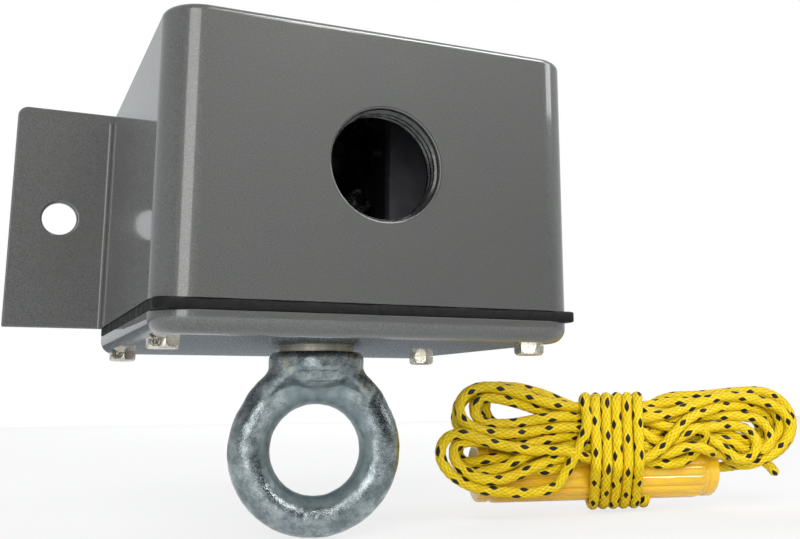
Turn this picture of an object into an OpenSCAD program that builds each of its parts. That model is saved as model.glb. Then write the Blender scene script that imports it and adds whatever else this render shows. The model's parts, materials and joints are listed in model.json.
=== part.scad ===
// Rope pull switch: a steel box on a wall plate, a pull eye under it that trips a
// snap switch inside, and the rope with its grip handle, coiled up beside the box.
// Millimetres, +Z up, the wall behind at y = 0, the front towards -Y.
// The origin is midway between the two wall holes, on the wall face.

/* [Box] */
// Width of the box, side to side
box_w = 122.5; // [116:0.5:150]
// Depth of the box, from the wall plate to its front
box_d = 122.5; // [116:0.5:150]
// Height of the box above the gasket
box_h = 78; // [72:0.5:100]
// Thickness of the sheet steel of the box and lid
sheet = 1.6; // [1.2:0.1:2.4]
// Radius of the upright corners at the front
corner_r = 10.9; // [8:0.1:14]
// Radius of the box's top edge
top_edge_r = 2; // [1:0.1:3]

/* [Wall plate] */
// Thickness of the wall plate
plate_t = 2; // [1.5:0.1:4]
// Width of each ear beside the box
ear_w = 32.4; // [28:0.1:45]
// Height of the plate above the top of the box
plate_over = 1.1; // [0:0.1:4]
// Radius of the ears' upper corners
ear_corner_r = 3.5; // [2:0.5:10]
// Radius of the wall holes
ear_hole_r = 5.8; // [3:0.1:8]
// Radius of the fillet where the sides of the box meet the plate
side_fillet_r = 2; // [0.5:0.1:4]

/* [Conduit hub] */
// Radius of the conduit thread
conduit_r = 16.3; // [10:0.1:18]
// Wall of the hub round its thread
hub_wall = 4.5; // [3:0.1:6]
// Length of the hub behind the front sheet
hub_l = 6.4; // [5:0.1:12]

/* [Gasket and lid] */
// Thickness of the rubber gasket
gasket_t = 3; // [2:0.1:4]
// Radius of the gasket's corners, smaller than the box's
gasket_corner_r = 3.5; // [1:0.1:6]
// Width of the inward flange that the gasket seals on
flange_w = 12.5; // [11:0.1:15]
// Thickness of the inward flange
flange_t = 2; // [1.5:0.1:3]
// Depth of the pressed lid
lid_depth = 6.1; // [5.5:0.1:9]
// Radius of the lid's lower edge
lid_edge_r = 4.5; // [3:0.1:5]
// Radius of the lid's two upright corners at the wall
lid_back_r = 5.2; // [5.2:0.1:9]
// Gap between the weld nuts of the lid screws and the sides of the box
nut_gap = 0.2; // [0.1:0.1:3]
// Distance of the lid screws from the centre line, front and back
screw_y = 41.5; // [30:0.5:46]

/* [Lid screws] */
// Radius of the screw shank
screw_r = 2.4; // [2:0.1:2.5]
// Width across the flats of heads and nuts
screw_af = 8; // [7:0.1:9]
// Height of the heads
screw_head_t = 3; // [2:0.1:4]
// Height of the weld nuts
weld_nut_t = 4; // [3:0.1:6]

/* [Guide bush] */
// Radius of the pull shaft
shaft_r = 6; // [5:0.1:7]
// Running clearance round the shaft
run_gap = 0.05; // [0.03:0.01:0.09]
// Wall of the bush round the shaft
bush_wall = 3; // [2.5:0.1:3.5]
// Radius of the bush's flange under the lid
bush_flange_r = 12; // [11:0.1:14]
// Thickness of the bush's flange
bush_flange_t = 1.1; // [1:0.1:3]
// Height of the bush above the inside of the lid
bush_rise = 16.5; // [14:0.1:19]
// Thickness of the sealing washer
seal_t = 1.5; // [1:0.1:2]
// Width across the flats of the bush nut
bush_nut_af = 27; // [25:0.5:32]
// Height of the bush nut
bush_nut_t = 5; // [4:0.1:6]
// Height of the wiper ring at the bush's top
wiper_t = 3; // [2:0.1:5]

/* [Pull eye] */
// Inner radius of the ring
ring_in_r = 15; // [12:0.1:18]
// Radius of the ring's round bar
bar_r = 6; // [5:0.1:7]
// Radius of the eye's collar
collar_r = 15; // [12:0.1:16]
// Height of the collar's straight side
collar_h = 5.6; // [3:0.1:6]
// Distance from the collar's top to the ring's centre
eye_rise = 30.7; // [28:0.1:36]
// Depth of the threaded hole in the collar
eye_bore_l = 11; // [8:0.1:12]
// Room left under the shaft at the bottom of that hole
eye_bore_gap = 1; // [0.5:0.1:3]
// Width of the bevel round the collar's top
collar_bevel = 1.5; // [0.5:0.1:2]
// Angle down each side of the ring at which the collar's shoulders run out
shoulder_angle = 45; // [35:1:60]
// Angle that the ring stands turned at rest
eye_turn = -13.5; // [-45:0.5:45]

/* [Pull travel] */
// How far the eye can be pulled down
travel = 8; // [4:0.5:9]
// Mean radius of the return spring
spring_r = 10.6; // [10.4:0.1:11]
// Radius of the spring wire
wire_r = 0.9; // [0.6:0.05:0.9]
// Number of turns of the spring
spring_turns = 7; // [5:1:8]
// Length of the spring at rest
spring_l = 32; // [30:0.5:34]
// Thickness of the spring seat
seat_t = 2.5; // [2:0.1:4]
// Wall of the stop sleeve under the seat
sleeve_wall = 2.2; // [1.5:0.1:2.5]

/* [Trip cam] */
// Radius of the cam's hub
cam_hub_r = 8; // [7.6:0.1:8.4]
// Height of the hub under the cone
cam_hub_h = 4.4; // [3:0.1:6]
// Height of the cone
cam_cone_h = 14; // [12:0.1:15]
// How much wider the cone is at its top
cam_rise = 5.2; // [4:0.1:5.5]
// Height of the land on the cone
cam_land_h = 2; // [1:0.1:3]
// Width across the flats of the shaft nuts
shaft_nut_af = 18; // [17:0.1:19]
// Height of each shaft nut
shaft_nut_t = 5; // [4:0.1:6]
// How far the shaft stands out of its nuts
shaft_over = 2; // [1:0.1:3]
// Bevel on the shaft's upper end
shaft_bevel = 1; // [0.4:0.1:1.5]

/* [Snap switch] */
// Height of the switch case
case_h = 46; // [44:0.5:48]
// Depth of the switch case, from its lever side
case_d = 22; // [20:0.5:26]
// Width of the switch case with its cover
case_w = 17.5; // [16:0.1:20]
// Thickness of the cover on the case's front side
cover_t = 4; // [3:0.1:6]
// Distance between the two mounting holes
case_pitch = 25.4; // [22:0.1:28]
// Radius of the mounting holes
case_hole_r = 2.1; // [1.8:0.05:2.4]
// Radius of the lever's roller
roller_r = 4; // [3:0.1:4.5]
// Length of the roller
roller_l = 4.6; // [4:0.1:5.5]
// Radius of the roller's pin
roller_pin_r = 1.2; // [1:0.05:1.5]
// Height of the roller's centre above the foot of the cone
roller_rise = 3; // [2:0.1:4]
// Distance of the lever's pin behind the roller's centre
pin_back = 2.5; // [2:0.1:3]
// Radius of the lever's ear round the roller's pin
ear_r = 2; // [1.8:0.1:2.4]
// Radius of the two lugs that hold the lever's pin
lug_r = 2.6; // [2.2:0.1:3]
// Distance of the lever's pin below the top of the case
pin_down = 4; // [3:0.1:5]
// Gap between the top of the case and the roof of the box
roof_gap = 3.45; // [1:0.05:6]
// Thickness of the lever's blade
blade_t = 1; // [0.8:0.1:1.2]
// Width of the lever's blade
blade_w = 7; // [6.8:0.1:8]
// Radius of the lever's pin
lever_pin_r = 1.2; // [1:0.05:1.3]
// Radius of the plunger
plunger_r = 1.8; // [1.5:0.1:2.2]
// Distance of the plunger below the lever's pin
plunger_drop = 10; // [8:0.5:12]
// Length of the plunger inside the case
plunger_in = 5; // [3:0.5:7]
// Gap left between the cam and the roller, and before the plunger
touch_gap = 0.2; // [0.15:0.05:0.3]
// Length of the terminal tabs
tab_l = 8; // [6:0.5:10]
// Width of the terminal tabs
tab_w = 9; // [7:0.5:10]
// Thickness of the terminal tabs
tab_t = 1.2; // [0.8:0.1:1.6]
// Radius of the terminal screws' heads
terminal_r = 3; // [2.5:0.1:3.5]

/* [Switch bracket] */
// Thickness of the bracket
bracket_t = 2; // [1.5:0.1:3]
// Width of the flange welded to the side of the box
bracket_flange = 22; // [16:0.5:26]

/* [Rope and handle] */
// Diameter of the rope
rope_d = 4; // [3.5:0.1:4.5]
// Length of the grip handle
handle_l = 97; // [80:0.5:110]
// Radius of the handle's end collars
handle_r = 10.8; // [9:0.1:12]
// Number of ribs round the grip
handle_ribs = 16; // [12:1:20]
// Radius of each rib
rib_r = 1.8; // [1.4:0.1:2]
// How far the ribs stand out beyond the collars
rib_over = 0.4; // [0:0.1:0.8]
// Height of the ribs above the grip between them
rib_h = 0.7; // [0.4:0.1:1]
// Length of each end collar
collar_l = 4.5; // [3:0.1:8]
// Length of the plain neck between a collar and the ribs' ends
neck_l = 1.3; // [0.5:0.1:3]
// Radius of the handle's bore
handle_bore_r = 3; // [2.5:0.1:5]
// Length of the wound hank, end to end
hank_l = 152; // [140:0.5:165]
// Number of turns wrapped round the hank's middle
wrap_turns = 6; // [4:1:7]
// Height of the wrapped middle
wrap_h = 43; // [38:0.5:50]
// Radius of the hank's upper left and right ends
lobe_r = 12; // [10:0.1:14]
// Distance of the hank's middle from the ear
hank_away = 30; // [10:0.5:60]
// Height of the hank's middle above the floor
hank_up = 23.2; // [23:0.1:30]
// Distance of the hank in front of the wall
hank_front = 40.4; // [20:0.1:80]
// Distance of the handle's middle to the left of the hank's
handle_off = 2.6; // [0:0.1:10]
// Distance of the handle's middle below the hank's
handle_down = 8; // [6:0.1:8]

/* [Hidden] */
$fn = 64;

weld_gap = 0.1;
hole_gap = 0.3;

// levels of the stack, from the box down to the ring
z_top = box_h / 2;
z_rim = -box_h / 2;
z_gasket = z_rim - gasket_t;
z_lid = z_gasket - lid_depth;
z_floor = z_lid + sheet;
z_eye = z_lid - bush_flange_t;
z_ring = z_eye - eye_rise;

// plan of the box
box_y = -(plate_t + box_d / 2);
front_y = -(plate_t + box_d);
ear_x = box_w / 2 + ear_w / 2;
screw_x = box_w / 2 - sheet - nut_gap - screw_af / 2;

// bush and seals
bush_bore_r = shaft_r + run_gap;
bush_r = shaft_r + bush_wall;
z_bush_top = z_floor + bush_rise;
z_nut_top = z_floor + seal_t + bush_nut_t;
wiper_r = shaft_r + bush_wall * 0.6;

// spring and its seat, the sleeve stops on the bush after the travel
z_seat = z_nut_top + spring_l;
z_sleeve = z_bush_top + travel + run_gap;
seat_r = spring_r + wire_r;
sleeve_r = bush_bore_r + sleeve_wall;

// cam on top of the seat
z_cam = z_seat + seat_t + run_gap;
z_cone = z_cam + cam_hub_h;
z_land = z_cone + cam_cone_h;
z_cam_top = z_land + cam_land_h;
cam_slope = cam_rise / cam_cone_h;
z_shaft_top = z_cam_top + 2 * shaft_nut_t + shaft_over;

// roller beside the foot of the cone, lever pin above it, the switch hung under the roof
z_roller = z_cone + roller_rise;
roller_x = cam_hub_r + cam_slope * (z_roller - z_cone) + (roller_r + touch_gap) * sqrt(1 + pow(cam_slope, 2));
z_case_top = z_top - sheet - roof_gap;
z_pin = z_case_top - pin_down;
lever_l = z_pin - z_roller;
pin_x = roller_x + pin_back;
blade_x = pin_x + 0.6;
lug_gap = 0.2;
lug_t = 1.5;

// switch case beside the lever
lever_swing = cam_slope * travel;
case_x = roller_x + roller_r + lever_swing + 1.2;
z_case = z_case_top - case_h;
case_y = box_y - case_w / 2;
case_hole_x = case_x + case_d - 7;
z_plunger = z_pin - plunger_drop;
bracket_y = case_y + case_w;
wall_x = box_w / 2 - sheet;

// hank beside the box: its middle, and its turn about Z
hank_x = box_w / 2 + ear_w + hank_away;
hank_pos = [hank_x, -hank_front, z_ring - ring_in_r - 2 * bar_r + hank_up];
hank_turn = -12;
handle_u = -handle_off;
handle_w = -handle_down;
grip_r = handle_r + rib_over;
lobe_front = handle_r + 1.5 * rope_d;
lobe_back = rope_d;
wrap_pitch = rope_d + 0.25;
wrap_l = wrap_turns * wrap_pitch;
wrap_t = 2 * (grip_r + rope_d) + rope_d;
wrap_lean = 18;

// 2D plate with corners rounded by r in front (-Y) and r_back behind, centred
module rounded(w, d, r, r_back) {
    translate([r - w / 2, -d / 2])
        square([w - 2 * r, d / 2]);
    translate([r_back - w / 2, 0])
        square([w - 2 * r_back, d / 2]);
    translate([-w / 2, r - d / 2])
        square([w, d - r - r_back]);
    for (x = [-1, 1]) {
        translate([x * (w / 2 - r), r - d / 2])
            circle(r);
        translate([x * (w / 2 - r_back), d / 2 - r_back])
            circle(r_back);
    }
}

// post of a block with one soft end, from z = 0 up to h
module soft_post(r, h, edge) {
    cylinder(r = r, h = h - edge, $fn = 32);
    translate([0, 0, h - edge])
        rotate_extrude($fn = 32)
            intersection() {
                translate([r - edge, 0])
                    circle(edge, $fn = 16);
                square([r, edge]);
            }
}

// upright block with one soft end, centred, from z = 0 up to h, its corners as in rounded()
module soft_block(w, d, h, r, r_back, edge)
    hull()
        for (x = [-1, 1]) {
            translate([x * (w / 2 - r), r - d / 2, 0])
                soft_post(r, h, edge);
            translate([x * (w / 2 - r_back), d / 2 - r_back, 0])
                soft_post(r_back, h, edge);
        }

// the same block cut off flat and square at the back, to stand against a plate
module flat_back_block(w, d, h, r, edge)
    difference() {
        translate([0, r, 0])
            soft_block(w, d + 2 * r, h, r, r, edge);
        translate([-w, d / 2, -1])
            cube([2 * w, 3 * r, h + 2]);
    }

module at_lid_screws()
    for (x = [-1, 1], y = [-1, 1])
        translate([x * screw_x, box_y + y * screw_y, 0])
            children();

module at_eye()
    translate([0, box_y, 0])
        children();

// tube standing on z = 0
module tube(outer, inner, h)
    difference() {
        cylinder(r = outer, h = h);
        translate([0, 0, -1])
            cylinder(r = inner, h = h + 2);
    }

// hexagon with its upper corners turned off
module hex_body(af, h)
    intersection() {
        cylinder(r = af / 2 / cos(30), h = h, $fn = 6);
        union() {
            cylinder(r = af / 2 / cos(30) + 0.1, h = h * 0.8);
            translate([0, 0, h * 0.8])
                cylinder(r1 = af / 2 / cos(30) + 0.1, r2 = af / 2 - 0.2, h = h * 0.2);
        }
    }

module hex_nut(af, h, bore)
    difference() {
        hex_body(af, h);
        translate([0, 0, -1])
            cylinder(r = bore, h = h + 2);
    }

// ---- box ----

module housing()
    color([0.42, 0.43, 0.42])
        difference() {
            translate([0, box_y, z_rim])
                flat_back_block(box_w, box_d, box_h, corner_r, top_edge_r);
            translate([0, box_y, z_rim - 1])
                flat_back_block(box_w - 2 * sheet, box_d - 2 * sheet, box_h + 1 - sheet,
                    corner_r - sheet, max(top_edge_r - sheet, 0.4));
            translate([0, front_y - 1, 0])
                rotate([-90, 0, 0])
                    cylinder(r = conduit_r, h = sheet + 2);
        }

module wall_plate()
    color([0.42, 0.43, 0.42]) {
        rotate([90, 0, 0])
            linear_extrude(plate_t)
                difference() {
                    union() {
                        translate([0, plate_over / 2])
                            rounded(box_w + 2 * ear_w, box_h + plate_over, ear_corner_r, ear_corner_r);
                        translate([-box_w / 2 - ear_w, z_rim])
                            square([box_w + 2 * ear_w, box_h / 2]);
                    }
                    for (x = [-1, 1])
                        translate([x * ear_x, 0])
                            circle(ear_hole_r);
                }
        side_fillet();
        mirror([1, 0, 0])
            side_fillet();
    }

// hollow fillet along the right side of the box, up to its rounded top edge
module side_fillet()
    translate([box_w / 2, -plate_t, z_rim])
        linear_extrude(box_h - top_edge_r)
            difference() {
                translate([0, -side_fillet_r])
                    square([side_fillet_r, side_fillet_r + plate_t / 2]);
                translate([side_fillet_r, -side_fillet_r])
                    circle(side_fillet_r);
            }

module conduit_hub()
    color([0.35, 0.36, 0.36])
        translate([0, front_y + sheet, 0])
            rotate([-90, 0, 0])
                tube(conduit_r + hub_wall, conduit_r, hub_l);

module flange_sheet(grow, r, r_back)
    difference() {
        translate([0, box_y])
            rounded(box_w + grow, box_d + grow, r, r_back);
        translate([0, box_y])
            rounded(box_w - 2 * (sheet + flange_w), box_d - 2 * (sheet + flange_w), 4, 4);
        at_lid_screws()
            circle(screw_r + hole_gap);
    }

module rim_flange()
    color([0.40, 0.41, 0.40])
        translate([0, 0, z_rim])
            linear_extrude(flange_t)
                flange_sheet(-2 * (sheet + weld_gap), corner_r - sheet - weld_gap, 0.4);

module weld_nuts()
    color("silver")
        at_lid_screws()
            translate([0, 0, z_rim + flange_t])
                rotate(30)
                    hex_nut(screw_af, weld_nut_t, screw_r + weld_gap);

// ---- gasket and lid ----

module gasket()
    color([0.06, 0.06, 0.06])
        translate([0, 0, z_gasket])
            linear_extrude(gasket_t)
                flange_sheet(0, gasket_corner_r, gasket_corner_r);

module lid()
    color([0.45, 0.46, 0.46])
        difference() {
            translate([0, box_y, z_gasket])
                mirror([0, 0, 1])
                    soft_block(box_w, box_d, lid_depth, corner_r, lid_back_r, lid_edge_r);
            translate([0, box_y, z_gasket + 1])
                mirror([0, 0, 1])
                    soft_block(box_w - 2 * sheet, box_d - 2 * sheet, lid_depth + 1 - sheet,
                        corner_r - sheet, lid_back_r - sheet, lid_edge_r - sheet);
            at_lid_screws()
                translate([0, 0, z_lid - 1])
                    cylinder(r = screw_r + hole_gap, h = sheet + 2);
            at_eye()
                translate([0, 0, z_lid - 1])
                    cylinder(r = bush_r + weld_gap, h = sheet + 2);
        }

module lid_screws()
    color("silver")
        at_lid_screws() {
            translate([0, 0, z_lid])
                mirror([0, 0, 1])
                    rotate(30)
                        hex_body(screw_af, screw_head_t);
            translate([0, 0, z_lid])
                cylinder(r = screw_r, h = z_rim + flange_t + weld_nut_t + 1 - z_lid);
        }

// ---- guide bush ----

module guide_bush()
    color([0.72, 0.68, 0.58])
        at_eye()
            difference() {
                union() {
                    translate([0, 0, z_eye])
                        cylinder(r = bush_flange_r, h = bush_flange_t);
                    translate([0, 0, z_eye])
                        cylinder(r = bush_r, h = z_bush_top - z_eye);
                }
                translate([0, 0, z_eye - 1])
                    cylinder(r = bush_bore_r, h = z_bush_top - z_eye + 2);
                translate([0, 0, z_bush_top - wiper_t])
                    cylinder(r = wiper_r, h = wiper_t + 1);
            }

module seal_washer()
    color([0.1, 0.1, 0.1])
        at_eye()
            translate([0, 0, z_floor])
                tube(bush_nut_af / 2, bush_r + run_gap, seal_t);

module bush_nut()
    color("silver")
        at_eye()
            translate([0, 0, z_floor + seal_t])
                hex_nut(bush_nut_af, bush_nut_t, bush_r + run_gap);

module wiper_ring()
    color([0.1, 0.1, 0.1])
        at_eye()
            translate([0, 0, z_bush_top - wiper_t])
                tube(wiper_r - run_gap, bush_bore_r, wiper_t);

// ---- pull eye and what is on its shaft ----

module pull_eye()
    color([0.55, 0.6, 0.63])
        at_eye()
            rotate(eye_turn)
                difference() {
                    union() {
                        translate([0, 0, z_ring])
                            rotate([90, 0, 0])
                                rotate_extrude($fn = 96)
                                    translate([ring_in_r + bar_r, 0])
                                        circle(bar_r);
                        eye_collar();
                        eye_shoulders();
                    }
                    translate([0, 0, z_eye - eye_bore_l])
                        cylinder(r = shaft_r + run_gap, h = eye_bore_l + 1);
                }

// the collar, its bevelled top and the taper into the ring's bar
module eye_collar() {
    root_r = bar_r + 0.5;
    z_root = z_ring + ring_in_r + bar_r * 0.7;
    rotate_extrude()
        polygon([[0, z_eye], [collar_r - collar_bevel, z_eye], [collar_r, z_eye - collar_bevel],
            [collar_r, z_eye - collar_h], [root_r, z_root], [0, z_root]]);
}

// the web that runs from the collar into the ring's bar on both sides
module eye_shoulders()
    difference() {
        hull() {
            translate([0, 0, z_eye - collar_h])
                cylinder(r = collar_r, h = 0.1);
            for (side = [-1, 1])
                translate([side * (ring_in_r + bar_r) * sin(shoulder_angle), 0,
                    z_ring + (ring_in_r + bar_r) * cos(shoulder_angle)])
                    sphere(bar_r - 0.1, $fn = 32);
        }
        translate([0, 0, z_ring])
            rotate([90, 0, 0])
                ring_throat();
    }

// the space before, behind and inside the ring's bar, flared to meet the collar
module ring_throat() {
    mid_r = ring_in_r + bar_r;
    rotate_extrude()
        difference() {
            polygon([[0, -collar_r - 1], [mid_r + bar_r, -collar_r - 1], [mid_r, -bar_r * 0.9],
                [mid_r, bar_r * 0.9], [mid_r + bar_r, collar_r + 1], [0, collar_r + 1]]);
            translate([mid_r, 0])
                circle(bar_r);
        }
}

module pull_shaft()
    color([0.6, 0.62, 0.64])
        at_eye() {
            foot = z_eye - eye_bore_l + eye_bore_gap;
            translate([0, 0, foot])
                cylinder(r = shaft_r, h = z_shaft_top - foot - shaft_bevel);
            translate([0, 0, z_shaft_top - shaft_bevel])
                cylinder(r1 = shaft_r, r2 = shaft_r - shaft_bevel, h = shaft_bevel);
        }

// centre line of the spring: close-wound at both ends
function spring_z(t) =
    let (dead = 2 * wire_r, open = spring_l - 2 * wire_r - 2 * dead, run = spring_turns - 2)
    t < 1 ? t * dead : t > spring_turns - 1 ? dead + open + (t - spring_turns + 1) * dead
        : dead + (t - 1) * open / run;

module return_spring() {
    per_turn = 20;
    sides = 6;
    count = spring_turns * per_turn;
    z_first = z_nut_top + wire_r;
    points = [for (i = [0:count]) let (t = i / per_turn, a = 360 * t)
        for (k = [0:sides - 1]) let (b = 360 * k / sides, rr = spring_r + wire_r * cos(b))
            [rr * cos(a), rr * sin(a), z_first + spring_z(t) + wire_r * sin(b)]];
    skin = [for (i = [0:count - 1], k = [0:sides - 1]) let (n = (k + 1) % sides)
        [i * sides + k, i * sides + n, (i + 1) * sides + n, (i + 1) * sides + k]];
    ends = [[for (k = [sides - 1:-1:0]) k], [for (k = [0:sides - 1]) count * sides + k]];
    color([0.7, 0.72, 0.74])
        at_eye()
            polyhedron(points, concat(skin, ends), convexity = 10);
}

module spring_seat()
    color([0.16, 0.16, 0.17])
        at_eye()
            translate([0, 0, z_seat])
                tube(seat_r, bush_bore_r, seat_t);

module stop_sleeve()
    color([0.66, 0.6, 0.42])
        at_eye()
            translate([0, 0, z_sleeve])
                tube(sleeve_r, bush_bore_r, z_seat - z_sleeve);

module trip_cam()
    color([0.16, 0.16, 0.17])
        at_eye()
            difference() {
                union() {
                    translate([0, 0, z_cam])
                        cylinder(r = cam_hub_r, h = cam_hub_h);
                    translate([0, 0, z_cone])
                        cylinder(r1 = cam_hub_r, r2 = cam_hub_r + cam_rise, h = cam_cone_h);
                    translate([0, 0, z_land])
                        cylinder(r = cam_hub_r + cam_rise, h = cam_land_h);
                }
                translate([0, 0, z_cam - 1])
                    cylinder(r = bush_bore_r, h = z_cam_top - z_cam + 2);
            }

module shaft_nuts()
    color([0.16, 0.16, 0.17])
        at_eye()
            for (i = [0, 1])
                translate([0, 0, z_cam_top + i * (shaft_nut_t + run_gap)])
                    rotate(12 * i)
                        hex_nut(shaft_nut_af, shaft_nut_t, bush_bore_r);

// ---- snap switch, its upper end at the lever's pin ----

module at_case_holes()
    for (z = [-1, 1])
        translate([case_hole_x, case_y, (z_case + z_case_top) / 2 + z * case_pitch / 2])
            rotate([-90, 0, 0])
                children();

module switch_bracket()
    color([0.16, 0.16, 0.17])
        difference() {
            union() {
                translate([case_x + 4, bracket_y, z_case + 4])
                    cube([wall_x - weld_gap - case_x - 4, bracket_t, case_h - 8]);
                translate([wall_x - weld_gap - bracket_t, bracket_y, z_case + 4])
                    cube([bracket_t, bracket_flange, case_h - 8]);
            }
            at_case_holes()
                translate([0, 0, case_w - 1])
                    cylinder(r = case_hole_r, h = bracket_t + 2);
        }

module switch_case()
    color([0.12, 0.12, 0.13])
        difference() {
            union() {
                translate([case_x, case_y + cover_t, z_case])
                    cube([case_d, case_w - cover_t, case_h]);
                for (side = [-1, 1])
                    lever_lug(side);
            }
            at_case_holes()
                translate([0, 0, cover_t - 1])
                    cylinder(r = case_hole_r, h = case_w + 2);
            translate([case_x - 1, box_y, z_plunger])
                rotate([0, 90, 0])
                    cylinder(r = plunger_r + run_gap, h = plunger_in + 4);
            translate([pin_x, case_y - 1, z_pin])
                rotate([-90, 0, 0])
                    cylinder(r = lever_pin_r + run_gap, h = case_w + 2);
        }

// one of the two lugs that hold the lever's pin
module lever_lug(side) {
    inner = blade_w / 2 + lug_gap;
    y0 = side > 0 ? box_y + inner : box_y - inner - lug_t;
    translate([pin_x, y0, z_pin])
        rotate([-90, 0, 0])
            cylinder(r = lug_r, h = lug_t);
    translate([pin_x, y0, z_pin - lug_r])
        cube([case_x - pin_x + 0.5, lug_t, 2 * lug_r]);
}

module switch_cover()
    color([0.2, 0.2, 0.21])
        difference() {
            translate([case_x, case_y, z_case])
                cube([case_d, cover_t, case_h]);
            at_case_holes()
                translate([0, 0, -1])
                    cylinder(r = case_hole_r, h = cover_t + 2);
        }

module switch_screws()
    color("silver")
        at_case_holes() {
            translate([0, 0, -2])
                cylinder(r = case_hole_r * 1.8, h = 2);
            cylinder(r = case_hole_r - weld_gap, h = case_w + bracket_t + 4);
            translate([0, 0, case_w + bracket_t])
                hex_nut(case_hole_r * 3.3, 3, case_hole_r - weld_gap);
        }

module switch_plunger() {
    tip_x = blade_x + blade_t + touch_gap;
    color([0.05, 0.05, 0.06])
        translate([tip_x, box_y, z_plunger])
            rotate([0, 90, 0]) {
                translate([0, 0, 0.8])
                    cylinder(r = plunger_r, h = case_x + plunger_in - tip_x - 0.8);
                cylinder(r1 = plunger_r - 0.8, r2 = plunger_r, h = 0.8);
            }
}

module switch_lever() {
    ear_t = (blade_w - roller_l) / 2 - 0.2;
    z_blade = z_roller + roller_r + 0.6;
    color([0.16, 0.16, 0.17])
        difference() {
            union() {
                translate([blade_x, box_y - blade_w / 2, z_blade])
                    cube([blade_t, blade_w, z_pin - z_blade]);
                translate([pin_x, box_y - blade_w / 2, z_pin])
                    rotate([-90, 0, 0])
                        cylinder(r = lever_pin_r + 1, h = blade_w);
                for (side = [-1, 1])
                    lever_ear(side > 0 ? box_y + blade_w / 2 - ear_t : box_y - blade_w / 2, ear_t);
            }
            translate([pin_x, box_y - blade_w, z_pin])
                rotate([-90, 0, 0])
                    cylinder(r = lever_pin_r + run_gap, h = 2 * blade_w);
            translate([roller_x, box_y - blade_w, z_roller])
                rotate([-90, 0, 0])
                    cylinder(r = roller_pin_r + run_gap, h = 2 * blade_w);
        }
}

// an ear beside the roller, folded from the blade
module lever_ear(y0, ear_t) {
    translate([roller_x, y0, z_roller])
        rotate([-90, 0, 0])
            cylinder(r = ear_r, h = ear_t);
    translate([roller_x, y0, z_roller])
        cube([blade_x - roller_x + blade_t, ear_t, roller_r + 2 * ear_r]);
}

module lever_pin()
    color([0.16, 0.16, 0.17])
        translate([pin_x, box_y - blade_w / 2 - lug_gap - lug_t - 0.3, z_pin])
            rotate([-90, 0, 0])
                cylinder(r = lever_pin_r, h = blade_w + 2 * (lug_gap + lug_t + 0.3));

module lever_roller()
    color([0.85, 0.86, 0.88])
        translate([roller_x, box_y - roller_l / 2, z_roller])
            rotate([-90, 0, 0])
                tube(roller_r, roller_pin_r + run_gap, roller_l);

module roller_pin()
    color([0.16, 0.16, 0.17])
        translate([roller_x, box_y - blade_w / 2, z_roller])
            rotate([-90, 0, 0])
                cylinder(r = roller_pin_r, h = blade_w);

// ---- terminals on the side of the case away from the lever ----

terminal_step = case_h / 3;
terminal_tab = [tab_l, tab_w, tab_t];

module at_terminals()
    for (i = [0:2])
        translate([case_x + case_d, box_y - terminal_tab[1] / 2, z_case + terminal_step * (i + 0.5)])
            children();

module terminal_tabs()
    color([0.75, 0.6, 0.3])
        at_terminals()
            difference() {
                cube(terminal_tab);
                translate([terminal_tab[0] / 2, terminal_tab[1] / 2, -1])
                    cylinder(r = 1.6, h = terminal_tab[2] + 2);
            }

module terminal_screws()
    color([0.8, 0.8, 0.78])
        at_terminals()
            translate([terminal_tab[0] / 2, terminal_tab[1] / 2, 0]) {
                translate([0, 0, terminal_tab[2]])
                    cylinder(r = terminal_r, h = terminal_r * 2 / 3);
                translate([0, 0, -terminal_r])
                    cylinder(r = terminal_r / 2, h = terminal_r + tab_t);
            }

// earth stud on the inside of the box's back, with its nut
module ground_stud()
    color([0.3, 0.55, 0.3])
        translate([-wall_x / 2, -plate_t - sheet, 0])
            rotate([90, 0, 0]) {
                cylinder(r = 2, h = 12);
                translate([0, 0, 2])
                    hex_nut(7, 3, 2 + run_gap);
            }

// ---- handle and rope, in the hank's own frame: u along, v back, w up ----

module in_hank()
    translate(hank_pos)
        rotate(hank_turn)
            children();

// the handle's axis, from its left end
module along_handle()
    translate([handle_u - handle_l / 2, 0, handle_w])
        rotate([0, 90, 0])
            children();

module handle_grip()
    color([0.9, 0.62, 0.1])
        in_hank()
            along_handle()
                difference() {
                    union() {
                        translate([0, 0, collar_l])
                            cylinder(r = grip_r - rib_h, h = handle_l - 2 * collar_l);
                        grip_ribs();
                    }
                    translate([0, 0, collar_l - 1])
                        cylinder(r = handle_bore_r, h = handle_l - 2 * collar_l + 2);
                }

// the ribs, their ends bevelled down to the necks
module grip_ribs() {
    first = collar_l + neck_l;
    last = handle_l - first;
    inner = grip_r - rib_h - 1;
    intersection() {
        translate([0, 0, first])
            linear_extrude(last - first)
                for (i = [0:handle_ribs - 1])
                    rotate(360 * i / handle_ribs)
                        translate([grip_r - rib_r, 0])
                            circle(rib_r, $fn = 24);
        rotate_extrude()
            polygon([[inner, first - 1], [grip_r - rib_h, first], [grip_r + 0.1, first + rib_h],
                [grip_r + 0.1, last - rib_h], [grip_r - rib_h, last], [inner, last + 1]]);
    }
}

// one moulded collar with its outer corner rounded, its mouth at z = 0
module end_collar() {
    round_r = 1.2;
    rotate_extrude()
        difference() {
            union() {
                translate([0, round_r])
                    square([handle_r, collar_l - round_r]);
                square([handle_r - round_r, collar_l]);
                translate([handle_r - round_r, round_r])
                    circle(round_r, $fn = 24);
            }
            translate([-2 * handle_r + handle_bore_r, -1])
                square([2 * handle_r, collar_l + 2]);
        }
}

module handle_collars()
    color([0.9, 0.62, 0.1])
        in_hank()
            along_handle() {
                end_collar();
                translate([0, 0, handle_l])
                    mirror([0, 0, 1])
                        end_collar();
            }

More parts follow.
